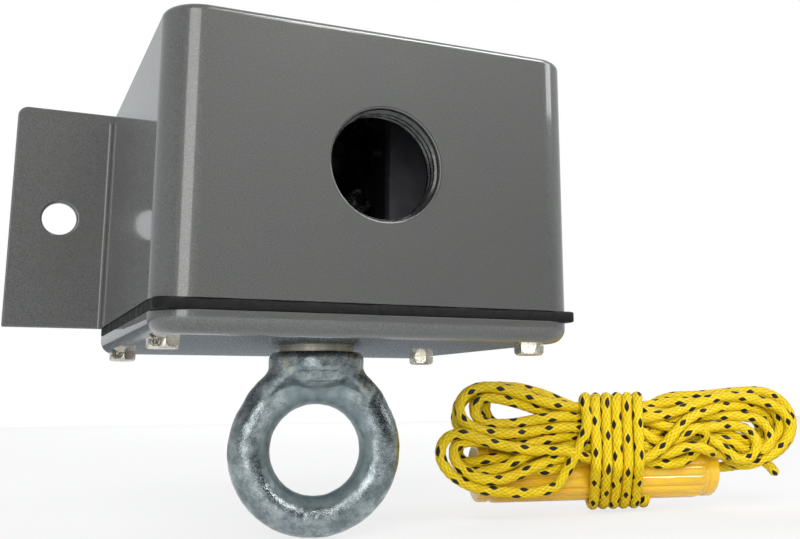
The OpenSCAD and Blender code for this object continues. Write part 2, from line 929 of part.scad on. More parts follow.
module rope_hank()
    color([0.95, 0.8, 0.1])
        in_hank()
            difference() {
                union() {
                    translate([0, lobe_back, 0])
                        rotate([90, 0, 0])
                            linear_extrude(lobe_back + lobe_front)
                                hank_outline();
                    translate([wrap_l / 4, -rope_d / 2, 0])
                        rotate(-wrap_lean)
                            rotate([90, 0, 90])
                                linear_extrude(wrap_l, center = true)
                                    translate([0, -rope_d / 3])
                                        rounded(wrap_t, wrap_h, rope_d * 2, rope_d * 2);
                }
                along_handle()
                    translate([0, 0, -hank_l])
                        cylinder(r = grip_r + weld_gap, h = hank_l + handle_l);
            }

// outline of the hank seen from the front: two lobes about the wrapped middle
module hank_outline() {
    left = 9 - hank_l / 2;
    right = 9 + hank_l / 2;
    waist = wrap_h - 2 * rope_d;
    hull() {
        translate([left + lobe_r + rope_d / 2, lobe_r + 1])
            circle(lobe_r, $fn = 32);
        translate([left + lobe_r, 0])
            circle(lobe_r, $fn = 32);
        square([1, waist], center = true);
    }
    hull() {
        translate([right - lobe_r, lobe_r - 1])
            circle(lobe_r, $fn = 32);
        translate([0, rope_d / 2])
            square([1, waist - rope_d], center = true);
    }
}

housing();
wall_plate();
conduit_hub();
rim_flange();
weld_nuts();
gasket();
lid();
lid_screws();
guide_bush();
seal_washer();
bush_nut();
wiper_ring();
pull_eye();
pull_shaft();
return_spring();
spring_seat();
stop_sleeve();
trip_cam();
shaft_nuts();
switch_bracket();
switch_case();
switch_cover();
switch_screws();
switch_plunger();
switch_lever();
lever_pin();
lever_roller();
roller_pin();
terminal_tabs();
terminal_screws();
ground_stud();
handle_grip();
handle_collars();
rope_hank();
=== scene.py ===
"""Rope pull switch: a grey steel box on a wall plate, a lifting eye under its lid, and the
yellow rope wound up with its grip handle. Metres, +Z up, the wall at y = 0, the front at -Y."""
import json
import math

import bmesh
import bpy
import numpy as np
from mathutils import Matrix, Vector


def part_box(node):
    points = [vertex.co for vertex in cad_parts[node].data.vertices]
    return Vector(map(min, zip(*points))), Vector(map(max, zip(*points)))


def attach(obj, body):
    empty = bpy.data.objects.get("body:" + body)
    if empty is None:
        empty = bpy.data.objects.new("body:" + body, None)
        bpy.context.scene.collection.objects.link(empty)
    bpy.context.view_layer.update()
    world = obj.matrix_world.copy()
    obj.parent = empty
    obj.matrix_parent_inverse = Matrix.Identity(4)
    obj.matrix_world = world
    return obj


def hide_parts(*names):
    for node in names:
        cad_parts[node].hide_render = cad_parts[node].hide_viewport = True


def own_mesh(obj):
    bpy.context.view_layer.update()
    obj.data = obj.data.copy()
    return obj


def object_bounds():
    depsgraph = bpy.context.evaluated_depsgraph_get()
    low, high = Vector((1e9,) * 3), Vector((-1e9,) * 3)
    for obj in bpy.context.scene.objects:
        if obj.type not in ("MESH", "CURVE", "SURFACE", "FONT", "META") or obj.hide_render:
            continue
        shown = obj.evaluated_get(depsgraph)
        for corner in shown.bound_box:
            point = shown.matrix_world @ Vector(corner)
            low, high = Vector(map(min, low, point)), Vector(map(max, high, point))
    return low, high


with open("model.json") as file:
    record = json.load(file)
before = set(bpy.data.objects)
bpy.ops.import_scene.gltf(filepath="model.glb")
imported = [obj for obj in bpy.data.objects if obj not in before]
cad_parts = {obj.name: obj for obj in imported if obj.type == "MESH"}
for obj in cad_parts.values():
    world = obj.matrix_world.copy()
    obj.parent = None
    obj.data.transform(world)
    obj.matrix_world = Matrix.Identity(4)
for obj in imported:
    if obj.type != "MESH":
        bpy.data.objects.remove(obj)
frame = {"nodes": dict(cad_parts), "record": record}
cad_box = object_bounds()
MM = 0.001
TURN = 2 * math.pi


# ---- sizes in millimetres, some taken from the imported nodes ----

def span(node):
    """Lowest and highest corner of a node, in millimetres."""
    low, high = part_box(node)
    return np.array(low) / MM, np.array(high) / MM


BOX_LOW, BOX_HIGH = span("housing")
BOX_W = BOX_HIGH[0] - BOX_LOW[0]
BOX_D = BOX_HIGH[1] - BOX_LOW[1]
BOX_Y, BACK_Y = (BOX_HIGH[1] + BOX_LOW[1]) / 2, BOX_HIGH[1]
FRONT_Y, Z_TOP, Z_RIM = BOX_LOW[1], BOX_HIGH[2], BOX_LOW[2]
SHEET = 1.6
CORNER_R, TOP_EDGE_R = 10.9, 2.0
Z_GASKET, Z_LID = span("gasket")[0][2], span("lid")[0][2]
GASKET_R, LID_EDGE_R = 3.5, 4.5
CONDUIT_R, HUB_L, HUB_WALL = 16.3, 6.4, 4.5
THREAD_PITCH, THREAD_DEPTH = 2.2, 1.0
LID_BACK_R = 5.2
SCREW_X, SCREW_Y, SCREW_AF, HEAD_H, SHANK_R = 55.45, 41.5, 8.0, 3.0, 2.4
PLATE_LOW, PLATE_HIGH = span("wall_plate")
PLATE_T, FILLET_R = 2.0, 1.3
EAR_HOLE_X, EAR_HOLE_R, EAR_CORNER_R = 77.45, 5.8, 3.5
Z_EYE = span("pull_eye")[1][2]
RING_IN_R, BAR_R, FORGED_GRAIN = 15.0, 6.0, 0.45
Z_RING = span("pull_eye")[0][2] + RING_IN_R + 2 * BAR_R
EYE_TURN = math.radians(-13.5)
BUSH_R = 9.0
SPRING_R, WIRE_R, SPRING_TURNS = 10.6, 0.9, 7
Z_SPRING, Z_SEAT = -40.0, -8.0

ROPE_D, ROPE_LENGTH = 4.0, 3.55
PICK, YARNS = 2.9, 16
HANDLE_R, HANDLE_L, COLLAR_L, NECK_L = 10.8, 97.0, 4.5, 1.3
HANDLE_RIBS, RIB_TOP_R, RIB_H, BORE_R = 16, 11.2, 0.7, 3.0
HANDLE_U, HANDLE_W = -2.6, -8.0
HANK_TURN = math.radians(-12)
HANK_AT = np.array([123.65, -40.4, -83.7])
WRAP_U, WRAP_TURNS, WRAP_PITCH = 1.1, 6, 4.25


# ---- node trees ----

class Value:
    """A node's output that takes part in arithmetic."""

    def __init__(self, graph, socket):
        self.graph, self.socket = graph, socket

    def maths(self, operation, *operands):
        return self.graph.node("ShaderNodeMath", {"operation": operation}, dict(enumerate(operands)))

    def __add__(self, other):
        return self.maths("ADD", self, other)

    __radd__ = __add__

    def __sub__(self, other):
        return self.maths("SUBTRACT", self, other)

    def __rsub__(self, other):
        return self.maths("SUBTRACT", other, self)

    def __mul__(self, other):
        return self.maths("MULTIPLY", self, other)

    __rmul__ = __mul__

    def __truediv__(self, other):
        return self.maths("DIVIDE", self, other)

    def __mod__(self, other):
        return self.maths("FLOORED_MODULO", self, other)

    def __abs__(self):
        return self.maths("ABSOLUTE", self)

    def floor(self):
        return self.maths("FLOOR", self)

    def sine(self):
        return self.maths("SINE", self)

    def larger(self, other):
        return self.maths("MAXIMUM", self, other)

    def power(self, other):
        return self.maths("POWER", self, other)

    def ramp(self, low, high, to_low=0.0, to_high=1.0):
        """Smoothly from to_low at low to to_high at high, and level outside."""
        settings = {"interpolation_type": "SMOOTHSTEP"}
        return self.graph.node("ShaderNodeMapRange", settings,
                               {0: self, 1: low, 2: high, 3: to_low, 4: to_high})


class Graph:
    """One node tree; node() makes a node, sets it, wires it and returns one of its outputs."""

    def __init__(self, tree):
        self.tree = tree
        tree.nodes.clear()

    def node(self, kind, settings=None, inputs=None, output=0):
        """Makes a node, with settings first and then the values or links of its sockets."""
        node = self.tree.nodes.new(kind)
        for key, value in (settings or {}).items():
            setattr(node, key, value)
        for key, value in (inputs or {}).items():
            socket = node.inputs[key]
            if isinstance(value, Value):
                self.tree.links.new(value.socket, socket)
            elif socket.type == "RGBA":
                socket.default_value = (*value, 1)
            else:
                socket.default_value = value
        return Value(self, node.outputs[output]) if node.outputs else None

    def axes(self, place):
        """The three parts of a place or direction."""
        split = self.node("ShaderNodeSeparateXYZ", {}, {0: place})
        return [Value(self, part) for part in split.socket.node.outputs]


class Finish(Graph):
    """A material on one Principled shader, its fixed values set on the shader's sockets."""

    def __init__(self, name, colour, **fixed):
        self.material = bpy.data.materials.new(name)
        self.material.use_nodes = True
        super().__init__(self.material.node_tree)
        self.shader = self.tree.nodes.new("ShaderNodeBsdfPrincipled")
        end = self.tree.nodes.new("ShaderNodeOutputMaterial")
        self.tree.links.new(self.shader.outputs[0], end.inputs[0])
        self.shader.inputs["Base Color"].default_value = (*colour, 1)
        for key, value in fixed.items():
            socket = key.replace("_", " ").title().replace("Ior", "IOR")
            self.shader.inputs[socket].default_value = value
        self.place = self.node("ShaderNodeTexCoord", output="Object")
        self.material.diffuse_color = (*colour, 1)

    def noise(self, size, detail=2.0, rough=0.5, at=None):
        """Noise whose features are about size millimetres across."""
        return self.node("ShaderNodeTexNoise", {}, {"Vector": at or self.place, "Scale": 1 / (size * MM),
                                                    "Detail": detail, "Roughness": rough})

    def cells(self, size):
        """Distance to the middle of cells about size millimetres across."""
        return self.node("ShaderNodeTexVoronoi", {}, {"Vector": self.place, "Scale": 1 / (size * MM)})

    def mix(self, share, first, second):
        """Colour between first and second."""
        return self.node("ShaderNodeMix", {"data_type": "RGBA"}, {0: share, 6: first, 7: second}, 2)

    def stretch(self, scale, turn):
        """The place, turned and then scaled along each axis."""
        return self.node("ShaderNodeMapping", {}, {"Vector": self.place, "Scale": scale, "Rotation": turn})

    def feed(self, **links):
        """Links what varies over the surface to the shader."""
        for key, value in links.items():
            self.tree.links.new(value.socket, self.shader.inputs[key.replace("_", " ").title()])

    def relief(self, height, depth, strength=1.0):
        """Bumps the surface by height times depth millimetres."""
        bump = self.node("ShaderNodeBump", {}, {"Height": height, "Distance": depth * MM, "Strength": strength})
        self.tree.links.new(bump.socket, self.shader.inputs["Normal"])


# ---- finishes ----

def paint_finish():
    """Grey metallic powder coat: fine flakes in a satin base under a glossy clear coat."""
    f = Finish("grey_hammer_paint", (0.07, 0.072, 0.07), metallic=0.3, coat_weight=0.9,
               coat_roughness=0.07, specular_ior_level=0.4)
    flakes = f.noise(0.3, 3.0, 0.7)
    patches = f.noise(14.0, 2.0)
    base = f.mix(flakes.ramp(0.38, 0.66), (0.052, 0.054, 0.052), (0.105, 0.107, 0.103))
    tone = f.mix(patches.ramp(0.3, 0.7, 0.0, 0.2), base, (0.085, 0.084, 0.078))
    glint = f.cells(0.5)
    f.feed(base_color=f.mix(glint.ramp(0.14, 0.05, 0.0, 0.35), tone, (0.3, 0.3, 0.29)),
           roughness=f.noise(0.6).ramp(0.3, 0.7, 0.34, 0.48))
    f.relief(f.noise(0.9, 2.0) + flakes * 0.35, 0.016, 0.5)
    return f.material


def rubber_finish():
    """Dull black rubber with specks of pale dust."""
    f = Finish("black_rubber", (0.004, 0.004, 0.004), specular_ior_level=0.2)
    dust = f.noise(0.5, 3.0, 0.7)
    f.feed(base_color=f.mix(dust.ramp(0.64, 0.78), (0.004, 0.004, 0.004), (0.05, 0.05, 0.047)),
           roughness=f.noise(2.0).ramp(0.3, 0.7, 0.55, 0.8))
    f.relief(f.noise(0.35, 2.0), 0.03, 0.5)
    return f.material


def plated_finish(name, colour, dull, low, high, spots=0.0):
    """Plated or turned metal: light streaks of roughness and a few dull spots."""
    f = Finish(name, colour, metallic=1.0)
    cloud = f.noise(3.0, 4.0, 0.6)
    f.feed(base_color=f.mix(cloud.ramp(0.35, 0.75), colour, dull),
           roughness=(f.noise(0.5, 3.0).ramp(0.3, 0.7, low, high)
                      + f.cells(1.4).ramp(0.3, 0.1, 0.0, spots)))
    f.relief(f.noise(0.25, 2.0), 0.01, 0.4)
    return f.material


def zinc_finish():
    """Rough forged steel under blue zinc with pale painted sparkle; smooth from wear inside the ring and on the web
    above it, and there a lighter blue-green is painted in as reflected light.
    """
    f = Finish("zinc_steel", (0.42, 0.47, 0.5), metallic=0.9)
    x, y, z = (part * (1 / MM) for part in f.axes(f.place))
    across = x * math.cos(EYE_TURN) + (y - BOX_Y) * math.sin(EYE_TURN)
    up = z - Z_RING
    far = (across * across + up * up).power(0.5)
    web = up.ramp(21.0, 20.2) * up.ramp(9.0, 13.0) * abs(across).ramp(11.5, 8.5)
    inside = far.ramp(18.6, 16.4)
    # this mask is real wear, smoother and flatter, and also where the painted reflection colour goes
    worn_and_sheen = inside.larger(web)
    cloud = f.noise(5.0, 5.0, 0.65)
    grain = f.noise(0.75, 4.0, 0.75)
    scale = f.noise(1.5, 4.0, 0.65)
    blue = f.mix(cloud.ramp(0.3, 0.7), (0.13, 0.16, 0.165), (0.34, 0.38, 0.39))
    tint = f.mix(f.noise(8.0, 2.0).ramp(0.6, 0.78, 0.0, 0.5), blue, (0.50, 0.47, 0.27))
    rough = f.mix(scale.ramp(0.5, 0.7, 0.0, 0.6), tint, (0.09, 0.10, 0.095))
    # pale specks on the grain are painted sparkle, highlights put into the colour
    with_painted_sparkle = f.mix(grain.ramp(0.56, 0.76, 0.0, 0.5), rough, (0.85, 0.88, 0.88))
    # lighter blue-green on the smooth faces is painted reflection; metallic is lowered there so the painted colour
    # shows
    painted_teal_sheen = f.mix(f.noise(2.5, 3.0).ramp(0.3, 0.7), (0.155, 0.20, 0.21), (0.215, 0.27, 0.28))
    f.feed(base_color=f.mix(worn_and_sheen * 0.85, with_painted_sparkle, painted_teal_sheen),
           roughness=grain.ramp(0.3, 0.75, 0.30, 0.15) + worn_and_sheen * 0.14, metallic=0.95 - worn_and_sheen * 0.35)
    f.relief((grain * 0.8 + scale + cloud * 0.3) * (1.08 - worn_and_sheen), 0.075, 0.9)
    return f.material


def moulding_finish(name, colour):
    """Moulded plastic or dull paint with a fine grain and faint clouds."""
    f = Finish(name, colour)
    f.feed(base_color=f.mix(f.noise(6.0, 3.0).ramp(0.3, 0.7), colour, tuple(c * 1.35 for c in colour)),
           roughness=f.noise(1.2).ramp(0.3, 0.7, 0.35, 0.5))
    f.relief(f.noise(0.25, 2.0), 0.012, 0.5)
    return f.material


def amber_finish():
    """Glossy amber plastic, a little translucent, with faint flow marks along the grip."""
    f = Finish("amber_handle", (0.76, 0.37, 0.012), subsurface_weight=0.25, subsurface_scale=0.003,
               coat_weight=1.0, coat_roughness=0.04, specular_ior_level=0.5)
    f.shader.inputs["Subsurface Radius"].default_value = (1.0, 0.5, 0.1)
    along = f.stretch((0.25, 1, 1), (0, 0, -HANK_TURN))
    flow = f.noise(7.0, 4.0, 0.55, along)
    f.feed(base_color=f.mix(flow.ramp(0.3, 0.75), (0.80, 0.49, 0.018), (0.69, 0.385, 0.011)),
           roughness=f.noise(1.5, 3.0).ramp(0.3, 0.7, 0.14, 0.22))
    f.relief(f.noise(2.5, 2.0, 0.5, along), 0.035, 0.5)
    return f.material


def rope_finish():
    """Diamond braid of sixteen yellow yarns, with flecks of black yarn on four lines along it."""
    repeat = 8.0  # a line's flecks lie half as many picks apart
    nudge = 0.003  # keeps the seam off the diamonds' edges
    f = Finish("yellow_rope", (0.86, 0.62, 0.012), specular_ior_level=0.25)
    along, turn = f.axes(f.node("ShaderNodeTexCoord", output="UV"))[:2]
    left = along / PICK + turn * (YARNS / 2) + nudge
    right = along / PICK - turn * (YARNS / 2) + nudge
    dome = abs((left * math.pi).sine()) * abs((right * math.pi).sine())
    ridge = dome.power(0.4)
    parity = (left.floor() + right.floor()) % 2.0
    lean = (left * (3 * TURN)).sine() * parity + (right * (3 * TURN)).sine() * (1 - parity)
    line = ((left - right + 2) / 4).floor()
    across = (left - right + 2) % 4.0 - 2
    onward = (left + right - 1 + line % 2.0 * 2 + repeat / 2) % repeat - repeat / 2
    fleck = (abs(across).power(1.4) + abs(onward).power(1.4)).ramp(1.5, 1.2)
    tone = f.noise(2.2, 3.0, 0.6)
    body = f.mix(tone.ramp(0.3, 0.72), (0.82, 0.60, 0.004), (0.73, 0.49, 0.003))
    shaded = f.mix(ridge.ramp(0.7, 0.2, 0.0, 0.6), body, (0.36, 0.18, 0.003))
    threads = f.mix(lean.ramp(0.1, 1.0, 0.0, 0.35), shaded, (0.88, 0.74, 0.02))
    f.feed(base_color=f.mix(fleck, threads, (0.010, 0.009, 0.014)),
           roughness=tone.ramp(0.3, 0.7, 0.5, 0.65))
    f.relief(ridge + lean * 0.08, 0.36, 0.9)
    return f.material


# ---- meshes ----

def around(count):
    """Even angles round a circle."""
    return np.linspace(0, TURN, count + 1)[:-1]


def circle(angle, r, height, axis):
    """Ring of radius r about an axis (0, 1 or 2), at a height along it."""
    columns = [r * np.cos(angle), r * np.sin(angle)]
    columns.insert(axis, np.full(len(angle), height))
    return np.stack(columns, 1)


def rings_mesh(rings, joined=False):
    """Quads between rings of as many points each; the ends are joined or get flat caps."""
    rings = np.asarray(rings, float)
    rows, cols = rings.shape[:2]
    faces = []
    for i in range(rows if joined else rows - 1):
        a, b = i * cols, (i + 1) % rows * cols
        for k in range(cols):
            n = (k + 1) % cols
            faces.append((a + k, a + n, b + n, b + k))
    if not joined:
        faces.append(tuple(range(cols - 1, -1, -1)))
        faces.append(tuple((rows - 1) * cols + k for k in range(cols)))
    return rings.reshape(-1, 3), faces


def make_mesh(name, points, faces, recalc=True):
    """Mesh of points in millimetres, its faces turned outwards unless told not to."""
    mesh = bpy.data.meshes.new(name)
    mesh.from_pydata((np.asarray(points) * MM).tolist(), [], faces)
    if recalc:
        bm = bmesh.new()
        bm.from_mesh(mesh)
        bmesh.ops.recalc_face_normals(bm, faces=bm.faces)
        bm.to_mesh(mesh)
        bm.free()
    return mesh


def add_object(name, mesh):
    """Object at the origin."""
    piece = bpy.data.objects.new(name, mesh)
    bpy.context.scene.collection.objects.link(piece)
    return piece


def shell(name, rings, joined=False):
    """Object whose skin runs through the rings."""
    return add_object(name, make_mesh(name, *rings_mesh(rings, joined)))


def evaluated(piece):
    """Replaces the piece's mesh by what its modifiers make of it."""
    bpy.context.view_layer.update()
    graph = bpy.context.evaluated_depsgraph_get()
    mesh = bpy.data.meshes.new_from_object(piece.evaluated_get(graph))
    piece.modifiers.clear()
    piece.data = mesh
    return piece


def cut(piece, *cutters):
    """Takes the cutters' solids out of the piece."""
    for cutter in cutters:
        modifier = piece.modifiers.new("cut", "BOOLEAN")
        modifier.operation, modifier.solver, modifier.object = "DIFFERENCE", "EXACT", cutter
    evaluated(piece)
    for cutter in cutters:
        bpy.data.objects.remove(cutter)
    return piece


def smooth(piece, angle, weigh):
    """Shades the piece smooth up to the angle; weighed, its flat faces stay flat."""
    mesh = piece.data
    mesh.polygons.foreach_set("use_smooth", [True] * len(mesh.polygons))
    mesh.set_sharp_from_angle(angle=math.radians(angle))
    if weigh:
        modifier = piece.modifiers.new("weigh", "WEIGHTED_NORMAL")
        modifier.keep_sharp = True
        evaluated(piece)


def dress(piece, body, slot, node, finish=None, angle=32, weigh=False):
    """Gives a finished piece its finish and its body, and hides the node it stands for."""
    smooth(piece, angle, weigh)
    piece.data.materials.clear()
    piece.data.materials.append(finish or FINISHES[slot])
    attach(piece, body)
    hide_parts(node)


def level(z, inset=0.0, front_r=CORNER_R, back_r=0.3, back=None, along=0, steps=14):
    """Plan of the box at a height, drawn in by inset (at the back by back), along more points on a side."""
    half = BOX_W / 2 - inset
    ends = (FRONT_Y + inset, BACK_Y - (inset if back is None else back))
    corners = []
    for corner, (x, end) in enumerate(((1, 1), (-1, 1), (-1, 0), (1, 0))):
        r = max(0.05, (back_r if end else front_r) - inset)
        middle = np.array([x * (half - r), ends[end] - (r if end else -r), z])
        corners.append([middle + (r * math.cos(a), r * math.sin(a), 0)
                        for a in (np.arange(steps + 1) / steps + corner) * math.pi / 2])
    points = []
    for corner, after in zip(corners, corners[1:] + corners[:1]):
        points += corner
        points += [corner[-1] + (after[0] - corner[-1]) * k / (along + 1) for k in range(1, along + 1)]
    return np.array(points)


def soft_edge(r, steps=7):
    """Insets and rises of a quarter round, from its foot to its crown."""
    return [(r * (1 - math.cos(k / steps * math.pi / 2)), r * math.sin(k / steps * math.pi / 2))
            for k in range(steps + 1)]


def revolve(name, profile, at, axis=(0, 0, 1), steps=96):
    """Closed solid of (radius, distance) points turned about the axis through at."""
    axis = Vector(axis).normalized()
    side = axis.orthogonal().normalized()
    up = axis.cross(side)
    spokes = [side * math.cos(TURN * k / steps) + up * math.sin(TURN * k / steps) for k in range(steps)]
    rings = [[Vector(at) + axis * h + spoke * r for spoke in spokes] for r, h in profile]
    return shell(name, rings)


def merged(name, *pieces):
    """One object of several closed shells."""
    bm = bmesh.new()
    for piece in pieces:
        bm.from_mesh(piece.data)
        bpy.data.objects.remove(piece)
    mesh = bpy.data.meshes.new(name)
    bm.to_mesh(mesh)
    bm.free()
    return add_object(name, mesh)


# ---- camera ----

def make_camera():
    """Low at the left, its middle moved on the 800 by 539 frame."""
    wide, high, focal, middle = 800, 539, 964.26, (440, 212)
    data = bpy.data.cameras.new("camera")
    data.sensor_width = 36
    data.lens = focal / wide * data.sensor_width
    data.shift_x = (wide / 2 - middle[0]) / wide
    data.shift_y = (middle[1] - high / 2) / wide
    data.clip_start, data.clip_end = 0.01, 20
    camera = bpy.data.objects.new("camera", data)
    bpy.context.scene.collection.objects.link(camera)
    right = Vector((0.90719, -0.42069, -0.00463))
    forward = Vector((0.41375, 0.89013, 0.19098))
    up = right.cross(forward)
    turn = Matrix((right, up, -forward)).transposed().to_4x4()
    camera.matrix_world = Matrix.Translation((-0.09688, -0.36743, -0.06443)) @ turn
    bpy.context.scene.camera = camera


make_camera()


# ---- every node gets its finish ----

FINISHES = {"grey_hammer_paint": paint_finish(), "black_rubber": rubber_finish(), "zinc_steel": zinc_finish(),
            "amber_handle": amber_finish()}
for name, *look in (
        ("nickel_steel", (0.60, 0.57, 0.48), (0.36, 0.33, 0.27), 0.12, 0.26, 0.2),
        ("bush_alloy", (0.34, 0.32, 0.26), (0.22, 0.2, 0.16), 0.3, 0.45),
        ("bright_steel", (0.62, 0.63, 0.64), (0.44, 0.45, 0.46), 0.2, 0.34),
        ("spring_steel", (0.5, 0.51, 0.52), (0.34, 0.35, 0.36), 0.22, 0.36),
        ("grey_hammer_thread", (0.08, 0.08, 0.078), (0.04, 0.04, 0.04), 0.16, 0.3),
        ("black_oxide", (0.022, 0.022, 0.025), (0.04, 0.038, 0.036), 0.34, 0.5),
        ("terminal_brass", (0.66, 0.47, 0.2), (0.48, 0.32, 0.12), 0.24, 0.4)):
    FINISHES[name] = plated_finish(name, *look)
for name, colour in (("black_moulding", (0.018, 0.018, 0.02)), ("grey_moulding", (0.09, 0.09, 0.1)),
                     ("green_earth", (0.05, 0.2, 0.06))):
    FINISHES[name] = moulding_finish(name, colour)

for part in frame["record"]["subparts"]:
    node = frame["nodes"].get(part["node"])
    finish = FINISHES.get(part["material_slot"])
    if node is not None and finish is not None:
        node.data.materials.clear()
        node.data.materials.append(finish)


# ---- sheet metal: box, wall plate, conduit hub, gasket and lid ----

def make_housing():
    """Drawn box open at the bottom, its top edge soft, the conduit hole cut in its front."""
    rows = [level(Z_TOP - SHEET, SHEET), level(Z_RIM, SHEET), level(Z_RIM)]
    rows += [level(Z_TOP - TOP_EDGE_R + rise, inset, back=0) for inset, rise in soft_edge(TOP_EDGE_R)]
    piece = shell("box_shell", rows)
    lip = 0.5
    flare = [(CONDUIT_R + lip + 3, -3)] + [(CONDUIT_R + lip - x, z) for x, z in soft_edge(lip, 4)]
    hole = revolve("hole", flare + [(CONDUIT_R, SHEET + 3)], (0, FRONT_Y, 0), (0, 1, 0), 128)
    dress(cut(piece, hole), "box", "grey_hammer_paint", "housing", weigh=True)


def plate_ring(y, inset):
    """Outline of the wall plate, square below and rounded above, drawn in by inset."""
    points = []
    for corner, (x, z) in enumerate(((1, 1), (-1, 1), (-1, -1), (1, -1))):
        r = max(0.1, (EAR_CORNER_R if z > 0 else 0.6) - inset)
        middle = PLATE_HIGH[2] - inset - r if z > 0 else PLATE_LOW[2] + inset + r
        for k in range(9):
            a = (corner + k / 8) * math.pi / 2
            points.append((x * (PLATE_HIGH[0] - inset - r) + r * math.cos(a), y, middle + r * math.sin(a)))
    return points


def make_wall_plate():
    """Ears with rolled-in holes and soft edges, and a fillet of weld along each side of the box."""
    edge_r, rim_r, sunk, edge = 0.5, 1.0, 0.4, BOX_W / 2
    rows = [plate_ring(0, 0.0)]
    rows += [plate_ring(edge_r - PLATE_T - rise, inset) for inset, rise in soft_edge(edge_r, 4)]
    sheet = shell("sheet", rows)
    rim = [(EAR_HOLE_R, 1)] + [(EAR_HOLE_R + x, rim_r - PLATE_T - z) for x, z in soft_edge(rim_r, 6)]
    holes = [revolve("hole", rim + [(EAR_HOLE_R + 3, -PLATE_T - 2)], (x, 0, 0), (0, 1, 0), 72)
             for x in (-EAR_HOLE_X, EAR_HOLE_X)]
    cut(sheet, *holes)
    section = [(edge - sunk, -PLATE_T - FILLET_R)]
    section += [(edge + FILLET_R - FILLET_R * math.cos(a), -PLATE_T - FILLET_R + FILLET_R * math.sin(a))
                for a in np.linspace(0, math.pi / 2, 9)]
    section += [(edge + FILLET_R, sunk - PLATE_T), (edge - sunk, sunk - PLATE_T)]
    fillets = [shell("fillet", [[(side * x, y, z) for x, y in section] for z in (Z_RIM, Z_TOP - TOP_EDGE_R)])
               for side in (-1, 1)]
    dress(merged("wall_plate_skin", sheet, *fillets), "box", "grey_hammer_paint", "wall_plate", weigh=True)


def make_hub():
    """Boss behind the front sheet with its thread turned as a real helix."""
    angle, behind, lead_in = around(144), FRONT_Y + SHEET, 0.7
    rows = [circle(angle, CONDUIT_R + HUB_WALL, behind + h, 1) for h in (0, HUB_L)]
    for h in np.linspace(HUB_L, 0, 57):
        turn = (h / THREAD_PITCH - angle / TURN) % 1
        ridge = np.clip(1.35 * (1 - np.abs(2 * turn - 1)), 0, 1)
        fade = min(1, (h + 0.02) / lead_in, (HUB_L - h + 0.02) / lead_in)
        rows.append(circle(angle, CONDUIT_R - THREAD_DEPTH * ridge * fade, behind + h, 1))
    piece = shell("conduit_thread", rows, joined=True)
    dress(piece, "box", "grey_hammer_paint", "conduit_hub", FINISHES["grey_hammer_thread"], angle=40)


def make_gasket():
    """Rubber sheet cut by hand: soft edges that wander a little in and out."""
    inner, margin = SHEET + 12.5, 4
    edge = ((Z_GASKET, 0.45), (Z_GASKET + 0.15, 0.13), (Z_GASKET + 0.45, 0),
            (Z_RIM - 0.45, 0), (Z_RIM - 0.15, 0.13), (Z_RIM, 0.45))
    rows = [level(z, inset, GASKET_R, GASKET_R, along=24) for z, inset in edge]
    rows += [level(z, inner, inner + 4, inner + 4, along=24) for z in (Z_RIM, Z_GASKET)]
    rows = np.array(rows)
    x, y = rows[:len(edge), :, 0], rows[:len(edge), :, 1]
    wander = 0.17 + 0.12 * np.sin(0.31 * x + 1.0) * np.sin(0.27 * y + 0.6) + 0.05 * np.sin(0.9 * x + 0.7 * y)
    x -= np.sign(x) * wander * (np.abs(x) > BOX_W / 2 - margin)
    y -= np.sign(y - BOX_Y) * wander * (np.abs(y - BOX_Y) > BOX_D / 2 - margin)
    dress(shell("gasket_skin", rows, joined=True), "box", "black_rubber", "gasket", angle=50)


def make_lid():
    """Pressed tray with a round lower edge, pierced for the bush."""
    bottom, bevel, hole_r = Z_LID + LID_EDGE_R, 0.25, BUSH_R + 0.1
    heights = [(bottom - z, SHEET + x) for x, z in reversed(soft_edge(LID_EDGE_R - SHEET, 8))]
    heights += [(Z_GASKET, SHEET), (Z_GASKET, bevel), (Z_GASKET - bevel, 0)]
    heights += [(bottom - z, x) for x, z in soft_edge(LID_EDGE_R, 12)]
    piece = shell("lid_skin", [level(z, inset, back_r=LID_BACK_R) for z, inset in heights])
    hole = revolve("hole", [(hole_r, -2), (hole_r, SHEET + 4)], (0, BOX_Y, Z_LID))
    dress(cut(piece, hole), "box", "grey_hammer_paint", "lid", weigh=True)


def hexagon(angle):
    """Radius of a hexagon one across its flats, its flats facing left and right."""
    return 0.5 / np.cos((angle + math.pi / 6) % (math.pi / 3) - math.pi / 6)


def make_screws():
    """Four hexagon screws, one of them placed on four points by Geometry Nodes."""
    angle, tip = around(72), Z_RIM + 7
    crown = ((0, 9), (0.15, 9), (1.5, 4.55), (2.0, 4.5), (2.35, 4.38), (2.6, 4.2), (2.8, 3.95), (2.93, 3.6),
             (HEAD_H, 3.1))
    rows = [circle(angle, r, z, 2) for z, r in ((tip, SHANK_R - 0.3), (tip - 0.2, SHANK_R), (Z_LID, SHANK_R))]
    head = hexagon(angle) * SCREW_AF
    rows += [circle(angle, np.minimum(head, limit), Z_LID - depth, 2) for depth, limit in crown]
    places = [(x, BOX_Y + y, 0) for x in (-SCREW_X, SCREW_X) for y in (-SCREW_Y, SCREW_Y)]
    piece = copies("hexagon_screws", places, shell("screw", rows), FINISHES["nickel_steel"])
    dress(piece, "box", "nickel_steel", "lid_screws", angle=26)


